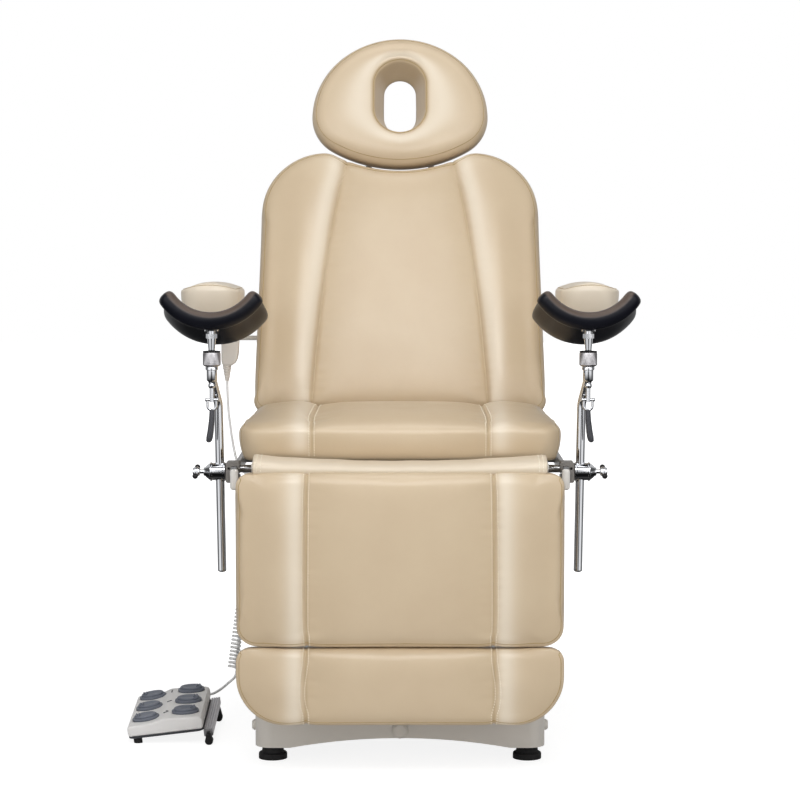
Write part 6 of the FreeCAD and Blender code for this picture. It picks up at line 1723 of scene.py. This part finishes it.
def oval_stack(name, tiers, grow=0.0):
    """Oval piece drawn up tier by tier from a circle, each tier a share of the pedal's outline."""
    obj = added(bpy.ops.mesh.primitive_circle_add, name, vertices=40, radius=1, fill_type="NGON")
    first, level = tiers[0]
    oval = Matrix.Diagonal(((PEDAL_HALF_LEN + grow) * first, (PEDAL_HALF_W + grow) * first, 1, 1))
    obj.data.transform(Matrix.Translation((0, 0, level)) @ oval)
    edit_all(obj)
    for share, height in tiers[1:]:
        bpy.ops.mesh.extrude_region_move(TRANSFORM_OT_translate={"value": (0, 0, height - level)})
        ratio = share / first
        bpy.ops.transform.resize(value=(ratio, ratio, 1), center_override=(0, 0, height))
        first, level = share, height
    bpy.ops.object.mode_set(mode="OBJECT")
    face_outwards(obj)
    return obj


def foot_housing():
    """Housing with a low left tier and a raised right one, and an oval well for each pedal."""
    obj = extruded("foot_control_housing", [(x, 0, z) for x, z in HOUSING_SECTION], (0, BOX_D, 0))
    bevelled(obj, BOX_ROUND, segments=4, angle=50)
    for number, spot, outer, lean in pedal_spots():
        cutter = oval_stack("well_cutter", ((1.0, -0.011), (1.0, 0.020)), PEDAL_GAP)
        cutter.data.transform(Matrix.Translation(spot) @ Matrix.Rotation(lean, 4, "Y"))
        cut = obj.modifiers.new("well", "BOOLEAN")
        cut.object = cutter
        cut.operation = "DIFFERENCE"
        cut.solver = "EXACT"
        apply_modifiers(obj)
        bpy.data.objects.remove(cutter)
    obj.data.transform(BOX_FRAME)
    smooth(obj, angle=35)
    dress(obj, "foot_control_grey", "base", "pedal_housing")


def foot_pedals():
    """Oval two-tier pedals, each with two rows of nubs at its outer end."""
    for number, spot, outer, lean in pedal_spots():
        obj = oval_stack("pedal_%d_cap" % number, PEDAL_TIERS)
        nubs = []
        for column in (0, 1):
            for row in (-1, 0, 1):
                nub_place = (outer * (NUB_X - NUB_PITCH_X * column), row * NUB_PITCH_Y, NUB_UP)
                nubs.append(ball("nub", NUB_R, nub_place, segments=12, rings=8, tall=1.15))
        join_into(obj, nubs)
        obj.data.transform(BOX_FRAME @ Matrix.Translation(spot) @ Matrix.Rotation(lean, 4, "Y"))
        smooth(obj, angle=50)
        dress(obj, "pedal_blue_grey", "pedal_%d" % number, "pedal_%d" % number)


def foot_marks():
    """Plain dark strokes between the two columns of pedals."""
    pieces = []
    for x, y, turn, length in STROKES:
        place = Matrix.Translation((x, y, MARK_UP)) @ Matrix.Rotation(math.radians(turn), 4, "Z")
        pieces.append(block("foot_control_marks", place, (MARK_W, length, MARK_T)))
    marks = join_into(pieces[0], pieces[1:])
    marks.data.transform(BOX_FRAME)
    dress(marks, "foot_plate_dark", "base")


set_camera()
set_world()
set_floor()
for lamp in LAMPS:
    soft_box(*lamp)
for side_sign in (-1, 1):
    for lamp_name, (lamp_x, lamp_y, lamp_z), *lamp_rest in PAIRED_LAMPS:
        soft_box(lamp_name, (side_sign * lamp_x, lamp_y, lamp_z), *lamp_rest)
pedal_cord()
handset_cord()
seat_pad()
legrest_pad()
footrest_pad()
backrest_pad()
head_pad()
arm_pads()
flap()
for side_sign, side_name in ((-1, "left"), (1, "right")):
    knee_trough(side_sign, side_name)
    ball_collar(side_sign, side_name)
    support_rod(side_sign, side_name)
    cam_lever(side_sign, side_name)
    rail_clamp(side_sign, side_name)
handset()
foot_housing()
foot_pedals()
foot_marks()

for name, obj in NODES.items():
    for slot in obj.material_slots:
        wanted = slot.material.name.split(".")[0] if slot.material else ""
        if wanted in FINISHES:
            slot.material = FINISHES[wanted]
        else:
            print("no finish for", name, wanted)

bpy.context.scene.view_settings.view_transform = "Standard"
